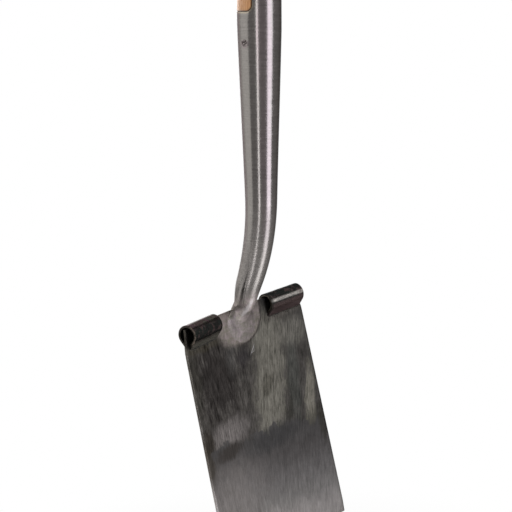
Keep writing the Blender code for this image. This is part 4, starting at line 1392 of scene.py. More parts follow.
@dataclass
class Socket:
    """The cranked socket of two half shells, whose front runs on up the shaft as a strap."""

    stance: Stance
    sheet: float = 0.0016
    mouth_height: float = 0.2865
    mouth_radius: float = 0.0205
    waist_height: float = 0.122
    waist_radius: float = 0.0157
    neck_height: float = 0.032
    neck_radius: float = 0.0136
    foot_height: float = 0.0085
    foot_radius: float = 0.0110
    solid_height: float = 0.018
    opening_length: float = 0.012
    core_share: float = 0.04
    mouth_parallel: float = 0.018
    mouth_taper: float = 0.0001
    seam_angle: float = math.radians(78)
    seam_neck_angle: float = math.radians(67)
    seam_turn_height: float = 0.070
    crank_start: float = 0.1142
    crank_drop: float = 0.082
    crank_radius: float = 0.245
    return_radius: float = 0.181
    front_tongue: tuple[tuple[float, ...], ...] = (
        (0.0000, 0.0174, 0.0120, 1.4),
        (-0.0060, 0.0106, 0.0195, 3.2),
        (-0.0120, 0.0060, 0.0240, 4.2),
        (-0.0180, 0.0037, 0.0250, 4.6),
        (-0.0235, 0.0025, 0.0235, 4.4),
        (-0.0285, 0.0018, 0.0195, 3.8),
        (-0.0325, 0.00145, 0.0130, 2.8),
        (-0.0360, 0.00125, 0.0060, 1.6),
    )
    skirt: float = 0.0012
    back_tongue: tuple[tuple[float, ...], ...] = (
        (0.0000, 0.0030, 0.0106),
        (-0.0065, 0.0048, 0.0120),
        (-0.0150, 0.0048, 0.0138),
        (-0.0250, 0.0040, 0.0130),
        (-0.0330, 0.0028, 0.0095),
        (-0.0370, 0.0009, 0.0060),
    )
    notch_corner: float = 0.006
    strap_angle: float = math.radians(71)
    strap_length: float = 0.135
    strap_tip: float = 0.0150
    strap_taper_start: float = 0.012
    columns: int = 68
    back_crowding: float = 0.75
    ledge: float = 0.0004
    tongue_row: float = 0.0014
    spacings: tuple[float, float, float] = (0.0014, 0.0028, 0.008)
    strap_spacings: tuple[float, float] = (0.0005, 0.005)
    tip_rows: int = 20
    tip_turn: float = math.radians(88)
    rim_round: float = 0.00075
    rim_lift: float = 0.010
    hair: float = 0.0001
    crease_depth: float = 0.0003
    crease_width: float = 0.0008
    crease_start: float = 0.003
    folds: tuple[tuple[float, float, float, float], ...] = (
        (math.radians(3), 0.038, 0.024, 1.0), (math.radians(17), 0.026, 0.014, 0.6),
    )

    @property
    def mouth_z(self) -> float:
        """The Z of the mouth."""
        return self.stance.top_z + self.mouth_height

    @property
    def shoulder(self) -> float:
        """How far above the mouth the strap's round end begins."""
        return self.strap_length - self.strap_tip

    def radius(self, height: float) -> float:
        """The outer radius at a height."""
        return smooth_through((
            (self.foot_height, self.foot_radius),
            (self.neck_height, self.neck_radius),
            (self.waist_height, self.waist_radius),
            (self.mouth_height - self.mouth_parallel, self.mouth_radius - self.mouth_taper),
            (self.mouth_height, self.mouth_radius),
        ), height)[0]

    def centre_y(self, height: float) -> float:
        """The Y of the neck's centre, which swings back on one arc and upright again on another."""
        drop = max(self.crank_start - height, 0.0)
        first = min(drop, self.crank_drop)
        offset = self.crank_radius - math.sqrt(self.crank_radius**2 - first**2)
        if drop > self.crank_drop:
            slope = math.asin(self.crank_drop / self.crank_radius)
            upright = self.return_radius * math.sin(slope) - (drop - self.crank_drop)
            offset += math.sqrt(self.return_radius**2 - upright**2) - self.return_radius * math.cos(slope)
        return self.stance.shaft_y + offset

    def section(self, height: float) -> Section:
        """The outline at a height."""
        if height >= self.foot_height:
            radius, middle = self.radius(height), self.centre_y(height)
            return Section(middle - radius, middle, middle + radius, radius, radius, 1.0)
        forward = self.stance.middle_y(self.foot_height) - self.centre_y(self.foot_height)
        front = [(*station, self.skirt) for station in self.front_tongue]
        front.append((self.foot_height, forward + self.foot_radius, self.foot_radius, 1.0, forward))
        back = (*self.back_tongue, (self.foot_height, self.foot_radius - forward, self.foot_radius))
        reach, front_half, hollowness, widest = smooth_through(front, height)
        back_reach, back_half = smooth_through(back, height)
        blade = self.stance.middle_y(height)
        return Section(blade - reach, blade - widest, blade + back_reach,
                       front_half, back_half, hollowness)

    def seam(self, height: float) -> float:
        """The angle from the front at which the two shells meet."""
        if height < 0:
            return math.pi / 2
        angle = smooth_through((
            (self.foot_height, self.seam_neck_angle),
            (self.seam_turn_height, self.seam_angle),
        ), height)[0]
        return math.acos(math.cos(angle) ** (1 / self.section(height).hollowness))

    def rim_y(self, turn: float) -> float:
        """The Y of the mouth's rim at an angle from the front."""
        return self.stance.shaft_y - self.mouth_radius * math.cos(turn)

    @property
    def seam_top(self) -> float:
        """How far the two shells still meet above the mouth, beside the strap's corner."""
        return self.corner_rise(self.rim_y(self.seam_angle))

    def strap_edge(self, above: float) -> float:
        """The angle from the front of the strap's edge, at a distance above the mouth."""
        corner = min(above / self.notch_corner, 1.0)
        inward = self.notch_corner * (1 - math.sqrt(1 - (1 - corner) ** 2))
        forward = self.mouth_radius * math.cos(self.strap_angle) - inward
        edge = min(math.acos(forward / self.mouth_radius), self.seam_angle)
        if above > self.strap_taper_start:
            share = min((above - self.strap_taper_start) / (self.shoulder - self.strap_taper_start), 1.0)
            half = self.mouth_radius + (self.strap_tip - self.mouth_radius) * share
            if above > self.shoulder:
                half = math.sqrt(max(self.strap_tip**2 - (above - self.shoulder) ** 2, 0.0))
            edge = min(edge, math.asin(min(half / self.mouth_radius, 1.0)))
        return edge

    def rim_distance(self, board: Board) -> Signal:
        """How far a place lies from the mouth's rim and the strap's edges.

        Args:
            board: The board of the material that asks.

        Returns:
            The distance in metres, up to the corner's size on the wood and below 0 on the steel.
        """
        x, y, z = board.split(board.place())
        above = z - self.mouth_z
        share = (above - self.strap_taper_start) / (self.shoulder - self.strap_taper_start)
        half = self.mouth_radius - share.held(0.0, 1.0) * (self.mouth_radius - self.strap_tip)
        sine = (half / self.mouth_radius).least(1.0)
        edge = sine.maths("ARCSINE", sine)
        turn = self.stance.turn_at(x, y)
        aside = (turn - edge.least(self.strap_angle)) * self.mouth_radius
        corner = self.notch_corner
        near = corner - (corner - aside).most(0.0).hypot((corner - above).most(0.0))
        return near + above.rise(self.shoulder, self.strap_length) * (corner - near)

    def crease(self, height: float, turn: float) -> float:
        """How deep the closed seam and the fold beside it lie in the neck."""
        size = self.radius(max(height, self.foot_height))
        start = smooth_rise(height / self.crease_start)
        depth = 0.0
        for inside, gone, full, share in self.folds:
            aside = size * abs(abs(turn) - (self.seam(height) - inside))
            near = max(0.0, 1 - aside / self.crease_width)
            fade = smooth_rise((gone - height) / (gone - full)) * start
            depth = max(depth, share * self.crease_depth * near**1.5 * fade)
        return depth

    def skin(self, height: float, turn: float) -> Point:
        """A point of the outer surface, at an angle from the front."""
        outline = self.section(min(height, self.mouth_height))
        depth = self.crease(height, turn) if 0 < height < self.seam_turn_height else 0.0
        cos, sin = math.cos(turn), math.sin(turn)
        if cos >= 0:
            x = (outline.front_half - depth) * sin
            y = outline.middle - (outline.middle - outline.front - depth) * cos**outline.hollowness
            if height < 0:
                y -= x**2 / (2 * self.stance.dish_radius)
        else:
            x = (outline.back_half - depth) * sin
            y = outline.middle - (outline.back - outline.middle - depth) * cos
        return x, y, self.stance.top_z + height

    def inside(self, height: float, outer: Point) -> Point:
        """The point of the inner surface behind a point of the outer one. The neck is solid."""
        outline = self.section(min(height, self.mouth_height))
        wall = 1 - self.sheet / self.radius(min(max(height, self.foot_height), self.mouth_height))
        opened = smooth_rise((height - self.solid_height) / self.opening_length)
        share = self.core_share + (wall - self.core_share) * opened
        return outer[0] * share, outline.middle + (outer[1] - outline.middle) * share, outer[2]

    def heights(self, low: float) -> list[float]:
        """The heights of the rows, close together where the socket curves."""
        rows = steps(low, -self.ledge, self.tongue_row) + [-self.ledge, self.ledge / 2]
        bounds = (3 * self.ledge, self.neck_height, self.crank_start, self.mouth_height)
        return rows + rows_between(bounds, self.spacings)

    def strap_rises(self) -> list[float]:
        """The distances above the mouth of the strap's rows, close together at its corner and its end."""
        bounds = (self.seam_top + self.ledge, self.notch_corner, self.shoulder)
        rises = [0.0, self.seam_top / 2, self.seam_top] + rows_between(bounds, self.strap_spacings)
        turns = [self.tip_turn * i / self.tip_rows for i in range(self.tip_rows + 1)]
        return rises + [self.shoulder + self.strap_tip * math.sin(turn) for turn in turns]

    def shell_ring(self, height: float, turns: Sequence[float]) -> Ring:
        """One row of a shell, along its outer surface and back along its inner one."""
        outer = [self.skin(height, turn) for turn in turns]
        return outer + [self.inside(height, point) for point in reversed(outer)]

    def spread(self, low: float, high: float, crowding: float = 0.0) -> list[float]:
        """Angles from low to high, evenly spaced or crowded towards both ends."""
        shares = [i / self.columns for i in range(self.columns + 1)]
        eased = [share - crowding * math.sin(2 * math.pi * share) / (2 * math.pi) for share in shares]
        return [low + (high - low) * share for share in eased]

    def build_front(self, finish: Finish) -> None:
        """Model the front shell with its tongue and strap."""
        rings = []
        for height in self.heights(self.front_tongue[-1][0]):
            edge = self.seam(height)
            rings.append(self.shell_ring(height, self.spread(-edge, edge)))
        for rise in self.strap_rises():
            edge = self.strap_edge(rise)
            rings.append(self.shell_ring(self.mouth_height + rise, self.spread(-edge, edge)))
        shell = Bench.loft("socket_front_shell", rings)
        rim = self.mouth_z + self.seam_top + self.hair
        Bench.ease(shell, self.rim_round, lambda middle: middle.z > rim, segments=3)
        Bench.hand_in(shell, finish, Slot.SOCKET, "socket_front")

    def build_back(self, finish: Finish) -> None:
        """Model the back shell with its tongue, and the corners that rise to the strap."""
        rings = []
        for height in self.heights(self.back_tongue[-1][0]) + [self.mouth_height]:
            edge = self.seam(height)
            ring = self.shell_ring(height, self.spread(edge, 2 * math.pi - edge, self.back_crowding))
            lift = smooth_rise((height - self.mouth_height + self.rim_lift) / self.rim_lift)
            rings.append([(x, y, z + lift * self.corner_rise(y)) for x, y, z in ring])
        shell = Bench.loft("socket_back_shell", rings)
        rim = self.mouth_z - 2 * self.hair
        meeting = self.rim_y(self.seam_angle) + 3 * self.hair
        Bench.ease(shell, self.rim_round, lambda middle: middle.z > rim and middle.y > meeting, segments=3)
        # Marks the back shell, where the socket steel's painted light on the neck is weaker.
        Bench.paint(shell, "behind", lambda co: 1.0)
        Bench.hand_in(shell, finish, Slot.SOCKET, "socket_back")

    def corner_rise(self, y: float) -> float:
        """How far the back shell's rim rises in the rounded corner beside the strap."""
        inward = min(max(1 - (y - self.rim_y(self.strap_angle)) / self.notch_corner, 0.0), 1.0)
        return self.notch_corner * (1 - math.sqrt(1 - inward**2))


@dataclass
class Shaft:
    """The ash shaft, split at its upper end into two arms that are steamed apart."""

    stance: Stance
    socket: Socket
    seat: float = 0.0003
    foot_height: float = 0.136
    slim_radius: float = 0.0178
    slim_height: float = 0.500
    crotch_height: float = 0.655
    crotch_half_width: float = 0.0195
    crotch_half_depth: float = 0.0172
    grip_height: float = 0.768
    inside_width: float = 0.094
    arm_thickness: float = 0.0135
    arm_half_depth: float = 0.0150
    arm_upright: float = 0.026
    arm_squareness: float = 0.32
    rounding_share: float = 0.35
    ease_start: float = 0.05
    top_narrowing: float = 0.25
    swell: float = 0.0016
    swell_length: float = 0.034
    strap_gap: float = 0.0003
    swell_rise: float = 0.0014
    shaving: float = 0.00012
    shaving_way: Point = (-1.0, 0.4, 0.0)
    shaving_start: float = 0.05
    shaving_rates: Point = (30, 30, 14)
    foot_rounding: tuple[tuple[float, float], ...] = ((0.0, 0.75), (0.001, 0.9))
    foot_full: float = 0.004
    notch_top: float = 0.008
    crotch_gap: float = 0.002
    spacings: tuple[float, float, float, float] = (0.03, 0.0005, 0.003, 0.012)
    arm_spacings: tuple[float, float] = (0.0025, 0.005)
    top_rows: int = 12
    top_turn: float = math.radians(86.4)
    half_columns: int = 90

    @property
    def radius(self) -> float:
        """The radius where the strap holds the shaft."""
        return self.socket.mouth_radius - self.socket.sheet - self.seat

    @property
    def bend(self) -> float:
        """How long the bent part of the arms is."""
        return self.grip_height - self.arm_upright - self.crotch_height

    def half_size(self, height: float) -> tuple[float, float]:
        """Half width and half depth at a height up to the crotch."""
        if height <= self.socket.mouth_height:
            radius = self.socket.radius(height) - self.socket.sheet - self.seat
            return radius, radius
        stations = (
            (self.socket.mouth_height + self.socket.strap_length, self.radius, self.radius),
            (self.slim_height, self.slim_radius, self.slim_radius),
            (self.crotch_height, self.crotch_half_width, self.crotch_half_depth),
        )
        return smooth_through(stations, height)

    def half_turns(self) -> list[float]:
        """The angles of a half outline, from its front to its back."""
        return [-math.pi / 2 + math.pi * i / self.half_columns for i in range(self.half_columns + 1)]

    def bare_swell(self, height: float, turn: float) -> float:
        """How far the wood stands out beside the strap, where it is shaved flush with the socket."""
        above = height - self.socket.mouth_height
        if not 0 < above < self.swell_length:
            return 0.0
        beside = (turn + math.pi / 2 - self.socket.strap_edge(above)) * self.radius
        fade = 1 - smooth_rise(above / self.swell_length)
        return self.swell * fade * smooth_rise((beside - self.strap_gap) / self.swell_rise)

    def split_ring(self, height: float, share: float = 1.0) -> Ring:
        """The left half of the round shaft, closed along the middle plane."""
        half_width, half_depth = (share * half for half in self.half_size(height))
        z = self.stance.top_z + height
        round_side = []
        for turn in self.half_turns():
            out = self.bare_swell(height, turn)
            x = -(half_width + out) * max(math.cos(turn), 0.0)
            round_side.append((x, self.stance.shaft_y + (half_depth + out) * math.sin(turn), z))
        return round_side + [(0.0, y, z) for _, y, z in round_side[-2:0:-1]]

    def arm_middle(self, share: float) -> float:
        """How far an arm's middle lies from the shaft's axis, at a share of the way up its bend."""
        start = smooth_rise(self.ease_start)
        rise = (smooth_rise(self.ease_start + (1 - self.ease_start) * share) - start) / (1 - start)
        low, high = self.crotch_half_width / 2, (self.inside_width + self.arm_thickness) / 2
        return low + (high - low) * rise

    def bend_share(self, height: float) -> float:
        """How far up the arm's bend a height is, from 0 to 1."""
        return min(max((height - self.crotch_height) / self.bend, 0.0), 1.0)

    def arm_half_thickness(self, share: float) -> float:
        """Half an arm's thickness along the level, which grows where the arm leans."""
        thick = self.crotch_half_width + (self.arm_thickness - self.crotch_half_width) * share
        if 0 < share < 1:
            step = min(share, 1 - share) / 2
            lean = (self.arm_middle(share + step) - self.arm_middle(share - step)) / (2 * step * self.bend)
            thick *= math.hypot(1.0, lean)
        return thick / 2

    def arm_ring(self, height: float, depth_share: float = 1.0) -> Ring:
        """The left arm's outline, which turns from a half round into a rounded strip on its way up."""
        share = self.bend_share(height)
        middle = self.arm_middle(share)
        half = self.arm_half_thickness(share) * (1 - self.top_narrowing * (1 - depth_share))
        depth = self.crotch_half_depth + (self.arm_half_depth - self.crotch_half_depth) * share
        strip = min(share / self.rounding_share, 1.0)
        _, y, z = self.stance.on_shaft(height)
        outer, inner = [], []
        for turn in self.half_turns():
            bulge = max(math.cos(turn), 0.0)
            place = (y + depth * depth_share * math.sin(turn), z)
            squared = half * bulge**self.arm_squareness
            outer.append((-middle - strip * squared + (1 - strip) * half * (1 - 2 * bulge), *place))
            inner.append((-middle + strip * squared + (1 - strip) * half, *place))
        return outer + inner[-2:0:-1]

    def round_heights(self) -> list[float]:
        """The heights of the round shaft's rows, close together where the strap's corner lies on it."""
        mouth = self.socket.mouth_height
        bounds = (self.foot_height + self.foot_full, mouth, mouth + self.notch_top,
                  mouth + self.swell_length, self.crotch_height - self.crotch_gap)
        return rows_between(bounds, self.spacings)

    def rings(self) -> list[Ring]:
        """All outlines of the left half, from the foot to the top of the arm."""
        rings = [self.split_ring(self.foot_height + up, share) for up, share in self.foot_rounding]
        rings += [self.split_ring(height) for height in self.round_heights()]
        bounds = (self.crotch_height, self.grip_height - self.arm_upright, self.grip_height)
        arms = rows_between(bounds, self.arm_spacings) + [self.grip_height]
        rings += [self.arm_ring(height) for height in arms]
        for i in range(1, self.top_rows + 1):
            turn = self.top_turn * i / self.top_rows
            top = self.grip_height + self.arm_half_depth * math.sin(turn)
            rings.append(self.arm_ring(top, math.cos(turn)))
        return rings

    def grain_place(self, co: Vector) -> Point:
        """Where a point lay in the straight billet, before the arms were bent."""
        share = self.bend_share(co.z - self.stance.top_z)
        moved = self.arm_middle(share) - self.crotch_half_width / 2 if share > 0 else 0.0
        return co.x - math.copysign(moved, co.x), co.y, co.z

    def build(self, finish: Finish) -> None:
        """Model the left half, open the middle plane below the crotch and add the right half."""
        shaft = Bench.loft("ash_shaft", self.rings())
        self.open_middle(shaft)
        Bench.mirror(shaft, 2 * WELD_REACH)
        Bench.sculpt(shaft, self.hand_shaping)
        Bench.paint_place(shaft, "grain", self.grain_place)
        Bench.hand_in(shaft, finish, Slot.ASH, "shaft")

    def open_middle(self, shaft: Piece) -> None:
        """Take away the flat faces on the middle plane, where the two halves are one piece."""
        crotch = self.stance.top_z + self.crotch_height
        Bench.pick(shaft)
        bpy.ops.object.mode_set(mode="EDIT")
        bpy.ops.mesh.select_mode(type="FACE")
        bpy.ops.mesh.select_all(action="DESELECT")
        bpy.ops.object.mode_set(mode="OBJECT")
        for face in shaft.data.polygons:
            flat = all(abs(shaft.data.vertices[v].co.x) < WELD_REACH / 10 for v in face.vertices)
            face.select = flat and face.center.z < crotch
        bpy.ops.object.mode_set(mode="EDIT")
        bpy.ops.mesh.delete(type="FACE")
        bpy.ops.mesh.select_mode(type="VERT")
        bpy.ops.object.mode_set(mode="OBJECT")

    def hand_shaping(self, co: Vector) -> Vector:
        """The slight unevenness that the spokeshave leaves on the arms and the open shaft."""
        above_strap = co.z - self.socket.mouth_z - self.socket.strap_length
        amount = self.shaving * smooth_rise(above_strap / self.shaving_start)
        spot = [part * rate for part, rate in zip(co, self.shaving_rates)]
        inwards = 1 if co.x > 0 else -1
        return Vector(self.shaving_way) * inwards * amount * abs(noise.noise(spot))


@dataclass(frozen=True)
class Washer:
    """A flat ring with eased edges, which lies under the hammered end of a rivet or rod."""

    shank: float
    radius: float
    thickness: float
    clearance: float = 0.0002
    easing_share: float = 0.3

    def turn(self, name: str, axis: Axis, centre: Point, bears: float) -> Piece:
        """Model it where it bears at a place along the axis and lies outwards from it."""
        bore, radius = self.shank + self.clearance, self.radius
        near, far = sorted((bears, bears + math.copysign(self.thickness, bears)))
        ease = self.thickness * self.easing_share
        cut = ease * self.easing_share
        return Bench.ring_shaped(name, [
            (bore, near), (radius - ease, near), (radius - cut, near + cut), (radius, near + ease),
            (radius, far - ease), (radius - cut, far - cut), (radius - ease, far), (bore, far),
        ], axis, centre)

    def hand_in_pair(self, name: str, centre: Point, bears: float, finish: Finish) -> None:
        """Model one on each side of the spade and hand both in."""
        for side in Side:
            node = f"{name}_{side.name.lower()}"
            disc = self.turn(f"{node}_disc", Axis.X, centre, side.value * bears)
            Bench.hand_in(disc, finish, Slot.RIVET, node)


class Hammer:
    """What a ball-peen hammer makes of a rivet's end."""

    height: float = 0.0013
    spread: float = 0.0014
    dent: float = 0.00010
    dent_rate: float = 520
    full_turn: float = math.radians(86)

    @classmethod
    def dome(cls, radius: float, base: float, height: float, rows: int = 8) -> Profile:
        """A low dome's profile, from its rim almost to the axis."""
        turns = [cls.full_turn * i / rows for i in range(rows + 1)]
        return [(radius * math.cos(turn), base + height * math.sin(turn)) for turn in turns]

    @classmethod
    def peened(cls, shank: float, base: float) -> Profile:
        """The profile of a shank from a washer's outer side on, closed over the washer."""
        return [(shank, base)] + cls.dome(shank + cls.spread, base, cls.height)

    @classmethod
    def dents(cls, co: Vector) -> Vector:
        """The small dents on whatever it has hit."""
        return Vector((1, 1, 1)) * cls.dent * noise.noise(co * cls.dent_rate)


@dataclass
class Grip:
    """The turned crossbar, the rod through it and a washer at each end."""

    stance: Stance
    shaft: Shaft
    middle_radius: float = 0.01599
    end_radius: float = 0.0142
    end_round: float = 0.0012
    score_depth: float = 0.0003
    score_rows: tuple[int, int] = (3, 45)
    barrel_rows: int = 48
    tenon_radius: float = 0.0080
    tenon_short: float = 0.0010
    grain_shift: Point = (0.011, -0.017, 0.31)
    rod_radius: float = 0.0026
    washer_radius: float = 0.0085
    washer_thickness: float = 0.0014

    @property
    def centre(self) -> Point:
        """The middle of the crossbar."""
        return self.stance.on_shaft(self.shaft.grip_height)

    def barrel(self, reach: float) -> Profile:
        """The crossbar's swelling middle, as far as stated to both sides, scored beside the arms."""
        profile = []
        for i in range(1, self.barrel_rows):
            share = -1 + 2 * i / self.barrel_rows
            swell = (self.middle_radius - self.end_radius) * math.cos(share * math.pi / 2)
            score = self.score_depth if i in self.score_rows else 0.0
            profile.append((self.end_radius + swell - score, share * reach))
        return profile

    def bar_end(self, shoulder: float) -> Profile:
        """The crossbar's rounded shoulder, from the barrel out, and the tenon in the arm."""
        tenon_end = shoulder + self.shaft.arm_thickness - self.tenon_short
        end = []
        for angle in (90, 67, 45, 22, 0):
            turn = math.radians(angle)
            radius = self.end_radius - self.end_round * (1 - math.sin(turn))
            end.append((radius, shoulder - self.end_round * (1 - math.cos(turn))))
        return end + [(self.tenon_radius, shoulder), (self.tenon_radius, tenon_end),
                      (self.rod_radius, tenon_end)]

    def grain_place(self, co: Vector) -> Point:
        """Where a point of the crossbar lay in its own billet, whose grain runs along it."""
        off = co - Vector(self.centre)
        return tuple(part + shift for part, shift in zip((off.y, off.z, off.x), self.grain_shift))

    def build_bar(self, finish: Finish) -> None:
        """Turn the crossbar with its tenons."""
        shoulder = self.shaft.inside_width / 2
        end = self.bar_end(shoulder)
        profile = flipped(end) + self.barrel(shoulder - self.end_round) + end
        bar = Bench.turned("crossbar", profile, Axis.X, self.centre, 96)
        Bench.paint_place(bar, "grain", self.grain_place)
        Bench.hand_in(bar, finish, Slot.ASH, "grip_bar")

    def build_rod(self, finish: Finish) -> None:
        """Turn the rod with its two hammered ends, and the washers under them."""
        outside = self.shaft.inside_width / 2 + self.shaft.arm_thickness
        half = Hammer.peened(self.rod_radius, outside + self.washer_thickness)
        rod = Bench.turned("grip_rod_peened", flipped(half) + half, Axis.X, self.centre, 48)
        Bench.sculpt(rod, Hammer.dents)
        Bench.hand_in(rod, finish, Slot.RIVET, "grip_rod")
        washer = Washer(self.rod_radius, self.washer_radius, self.washer_thickness)
        washer.hand_in_pair("grip_washer", self.centre, outside, finish)


@dataclass
class Rivets:
    """The rivets through socket, strap and shaft, with the burrs under their tails."""

    stance: Stance
    socket: Socket
    shaft: Shaft
    side_drop: float = 0.027
    side_back: float = 0.0021
    side_head: float = 0.0052
    side_head_depth: float = 0.0010
    side_proud: float = 0.00012
    side_dents: float = 0.3
    strap_rises: tuple[tuple[str, float], ...] = (("lower", 0.040), ("upper", 0.105))
    strap_shank: float = 0.0026
    strap_head: float = 0.0050
    strap_head_depth: float = 0.0008
    strap_dome: float = 0.0024
    crotch_drop: float = 0.016
    crotch_shank: float = 0.0022
    burr_radius: float = 0.0058
    burr_thickness: float = 0.0012
    seat: float = 0.0003

    @staticmethod
    def flat_on(round_radius: float, flat_radius: float) -> float:
        """How far from its axis a round piece has a flat spot as wide as stated."""
        return math.sqrt(round_radius**2 - flat_radius**2)

    def bears_on(self, round_radius: float, radius: float) -> float:
        """How far from the shaft's axis a head or burr sits on a round piece."""
        return self.flat_on(round_radius, radius + self.seat) + self.seat

    @property
    def side_height(self) -> float:
        """How high the rivet through the back shell lies."""
        return self.socket.mouth_height - self.side_drop

    @property
    def side_centre(self) -> Point:
        """The middle of the rivet through the back shell."""
        x, y, z = self.stance.on_shaft(self.side_height)
        return x, y + self.side_back, z

    def build_side(self, finish: Finish) -> None:
        """The rivet through the back shell, its heads ground nearly flush."""
        outer = self.socket.radius(self.side_height)
        rim = self.flat_on(outer, self.side_head)
        half = [(self.side_head, rim - self.side_head_depth)]
        half += Hammer.dome(self.side_head, rim, outer + self.side_proud - rim, 12)
        rivet = Bench.turned("side_rivet", flipped(half) + half, Axis.X, self.side_centre)
        Bench.sculpt(rivet, lambda co: self.flush(co, outer, rim - self.side_head_depth / 2))
        Bench.hand_in(rivet, finish, Slot.RIVET, "socket_rivet")

    def flush(self, co: Vector, round_radius: float, head_start: float) -> Vector:
        """Move a point of the side rivet's head onto the socket's round surface, a hair proud of it."""
        off = co - Vector(self.side_centre)
        if abs(off.x) < head_start:
            return Vector()
        aside = math.hypot(off.y, off.z)
        proud = self.side_proud * (1 - (aside / self.side_head) ** 2)
        reach = self.flat_on(round_radius, off.y + self.side_back) + proud
        return Vector((math.copysign(reach, off.x) - off.x, 0, 0)) + Hammer.dents(co) * self.side_dents

    def build_strap(self, finish: Finish) -> None:
        """The two rivets through strap and shaft, domed in front and closed over a burr behind."""
        bears = self.bears_on(self.socket.mouth_radius, self.strap_head)
        burr = self.bears_on(self.shaft.radius, self.burr_radius)
        under_head = self.strap_head_depth - bears
        profile = flipped(Hammer.dome(self.strap_head, bears, self.strap_dome))
        profile += [(self.strap_head, under_head), (self.strap_shank, under_head)]
        profile += Hammer.peened(self.strap_shank, burr + self.burr_thickness)
        washer = Washer(self.strap_shank, self.burr_radius, self.burr_thickness)
        for place, rise in self.strap_rises:
            centre = self.stance.on_shaft(self.socket.mouth_height + rise)
            rivet = Bench.turned(f"strap_rivet_{place}_domed", profile, Axis.Y, centre)
            Bench.sculpt(rivet, Hammer.dents)
            Bench.hand_in(rivet, finish, Slot.RIVET, f"strap_rivet_{place}")
            disc = washer.turn(f"strap_burr_{place}_disc", Axis.Y, centre, burr)
            Bench.hand_in(disc, finish, Slot.RIVET, f"strap_burr_{place}")

    def build_crotch(self, finish: Finish) -> None:
        """The rivet below the split, with a burr at each side."""
        height = self.shaft.crotch_height - self.crotch_drop
        centre = self.stance.on_shaft(height)
        burr = self.bears_on(self.shaft.half_size(height)[0], self.burr_radius)
        half = Hammer.peened(self.crotch_shank, burr + self.burr_thickness)
        rivet = Bench.turned("crotch_rivet_peened", flipped(half) + half, Axis.X, centre, 48)
        Bench.sculpt(rivet, Hammer.dents)
        Bench.hand_in(rivet, finish, Slot.RIVET, "crotch_rivet")
        washer = Washer(self.crotch_shank, self.burr_radius, self.burr_thickness)
        washer.hand_in_pair("crotch_burr", centre, burr, finish)


@dataclass(frozen=True)
class SoftBox:
    """A rectangular studio lamp that stands upright or tips, and looks at the spade.

    Bearings are measured from straight in front of the spade, positive to the right. The watts are
    those of a square metre of lamp at a level of 1.
    """

    name: str
    bearing: float
    distance: float
    height: float
    width: float
    tall: float
    level: float
    gloss: bool
    tint: Colour = (1.0, 1.0, 1.0)
    lying: bool = False
    watts: float = 4.0

    def build(self, target: Vector) -> None:
        """Add the lamp."""
        turn = math.radians(self.bearing)
        lamp = bpy.data.lights.new(self.name, "AREA")
        lamp.shape = "RECTANGLE"
        lamp.size = self.width
        lamp.size_y = self.tall
        lamp.color = self.tint
        lamp.energy = self.watts * self.level * self.width * self.tall
        holder = bpy.data.objects.new(self.name, lamp)
        bpy.context.scene.collection.objects.link(holder)
        place = Vector((self.distance * math.sin(turn), -self.distance * math.cos(turn), self.height))
        holder.location = place
        if self.lying:
            holder.rotation_euler = (math.pi, 0.0, turn)
        else:
            holder.rotation_euler = (target - place).to_track_quat("-Z", "Y").to_euler()
        holder.visible_camera = False
        holder.visible_glossy = self.gloss
        holder.visible_diffuse = not self.gloss


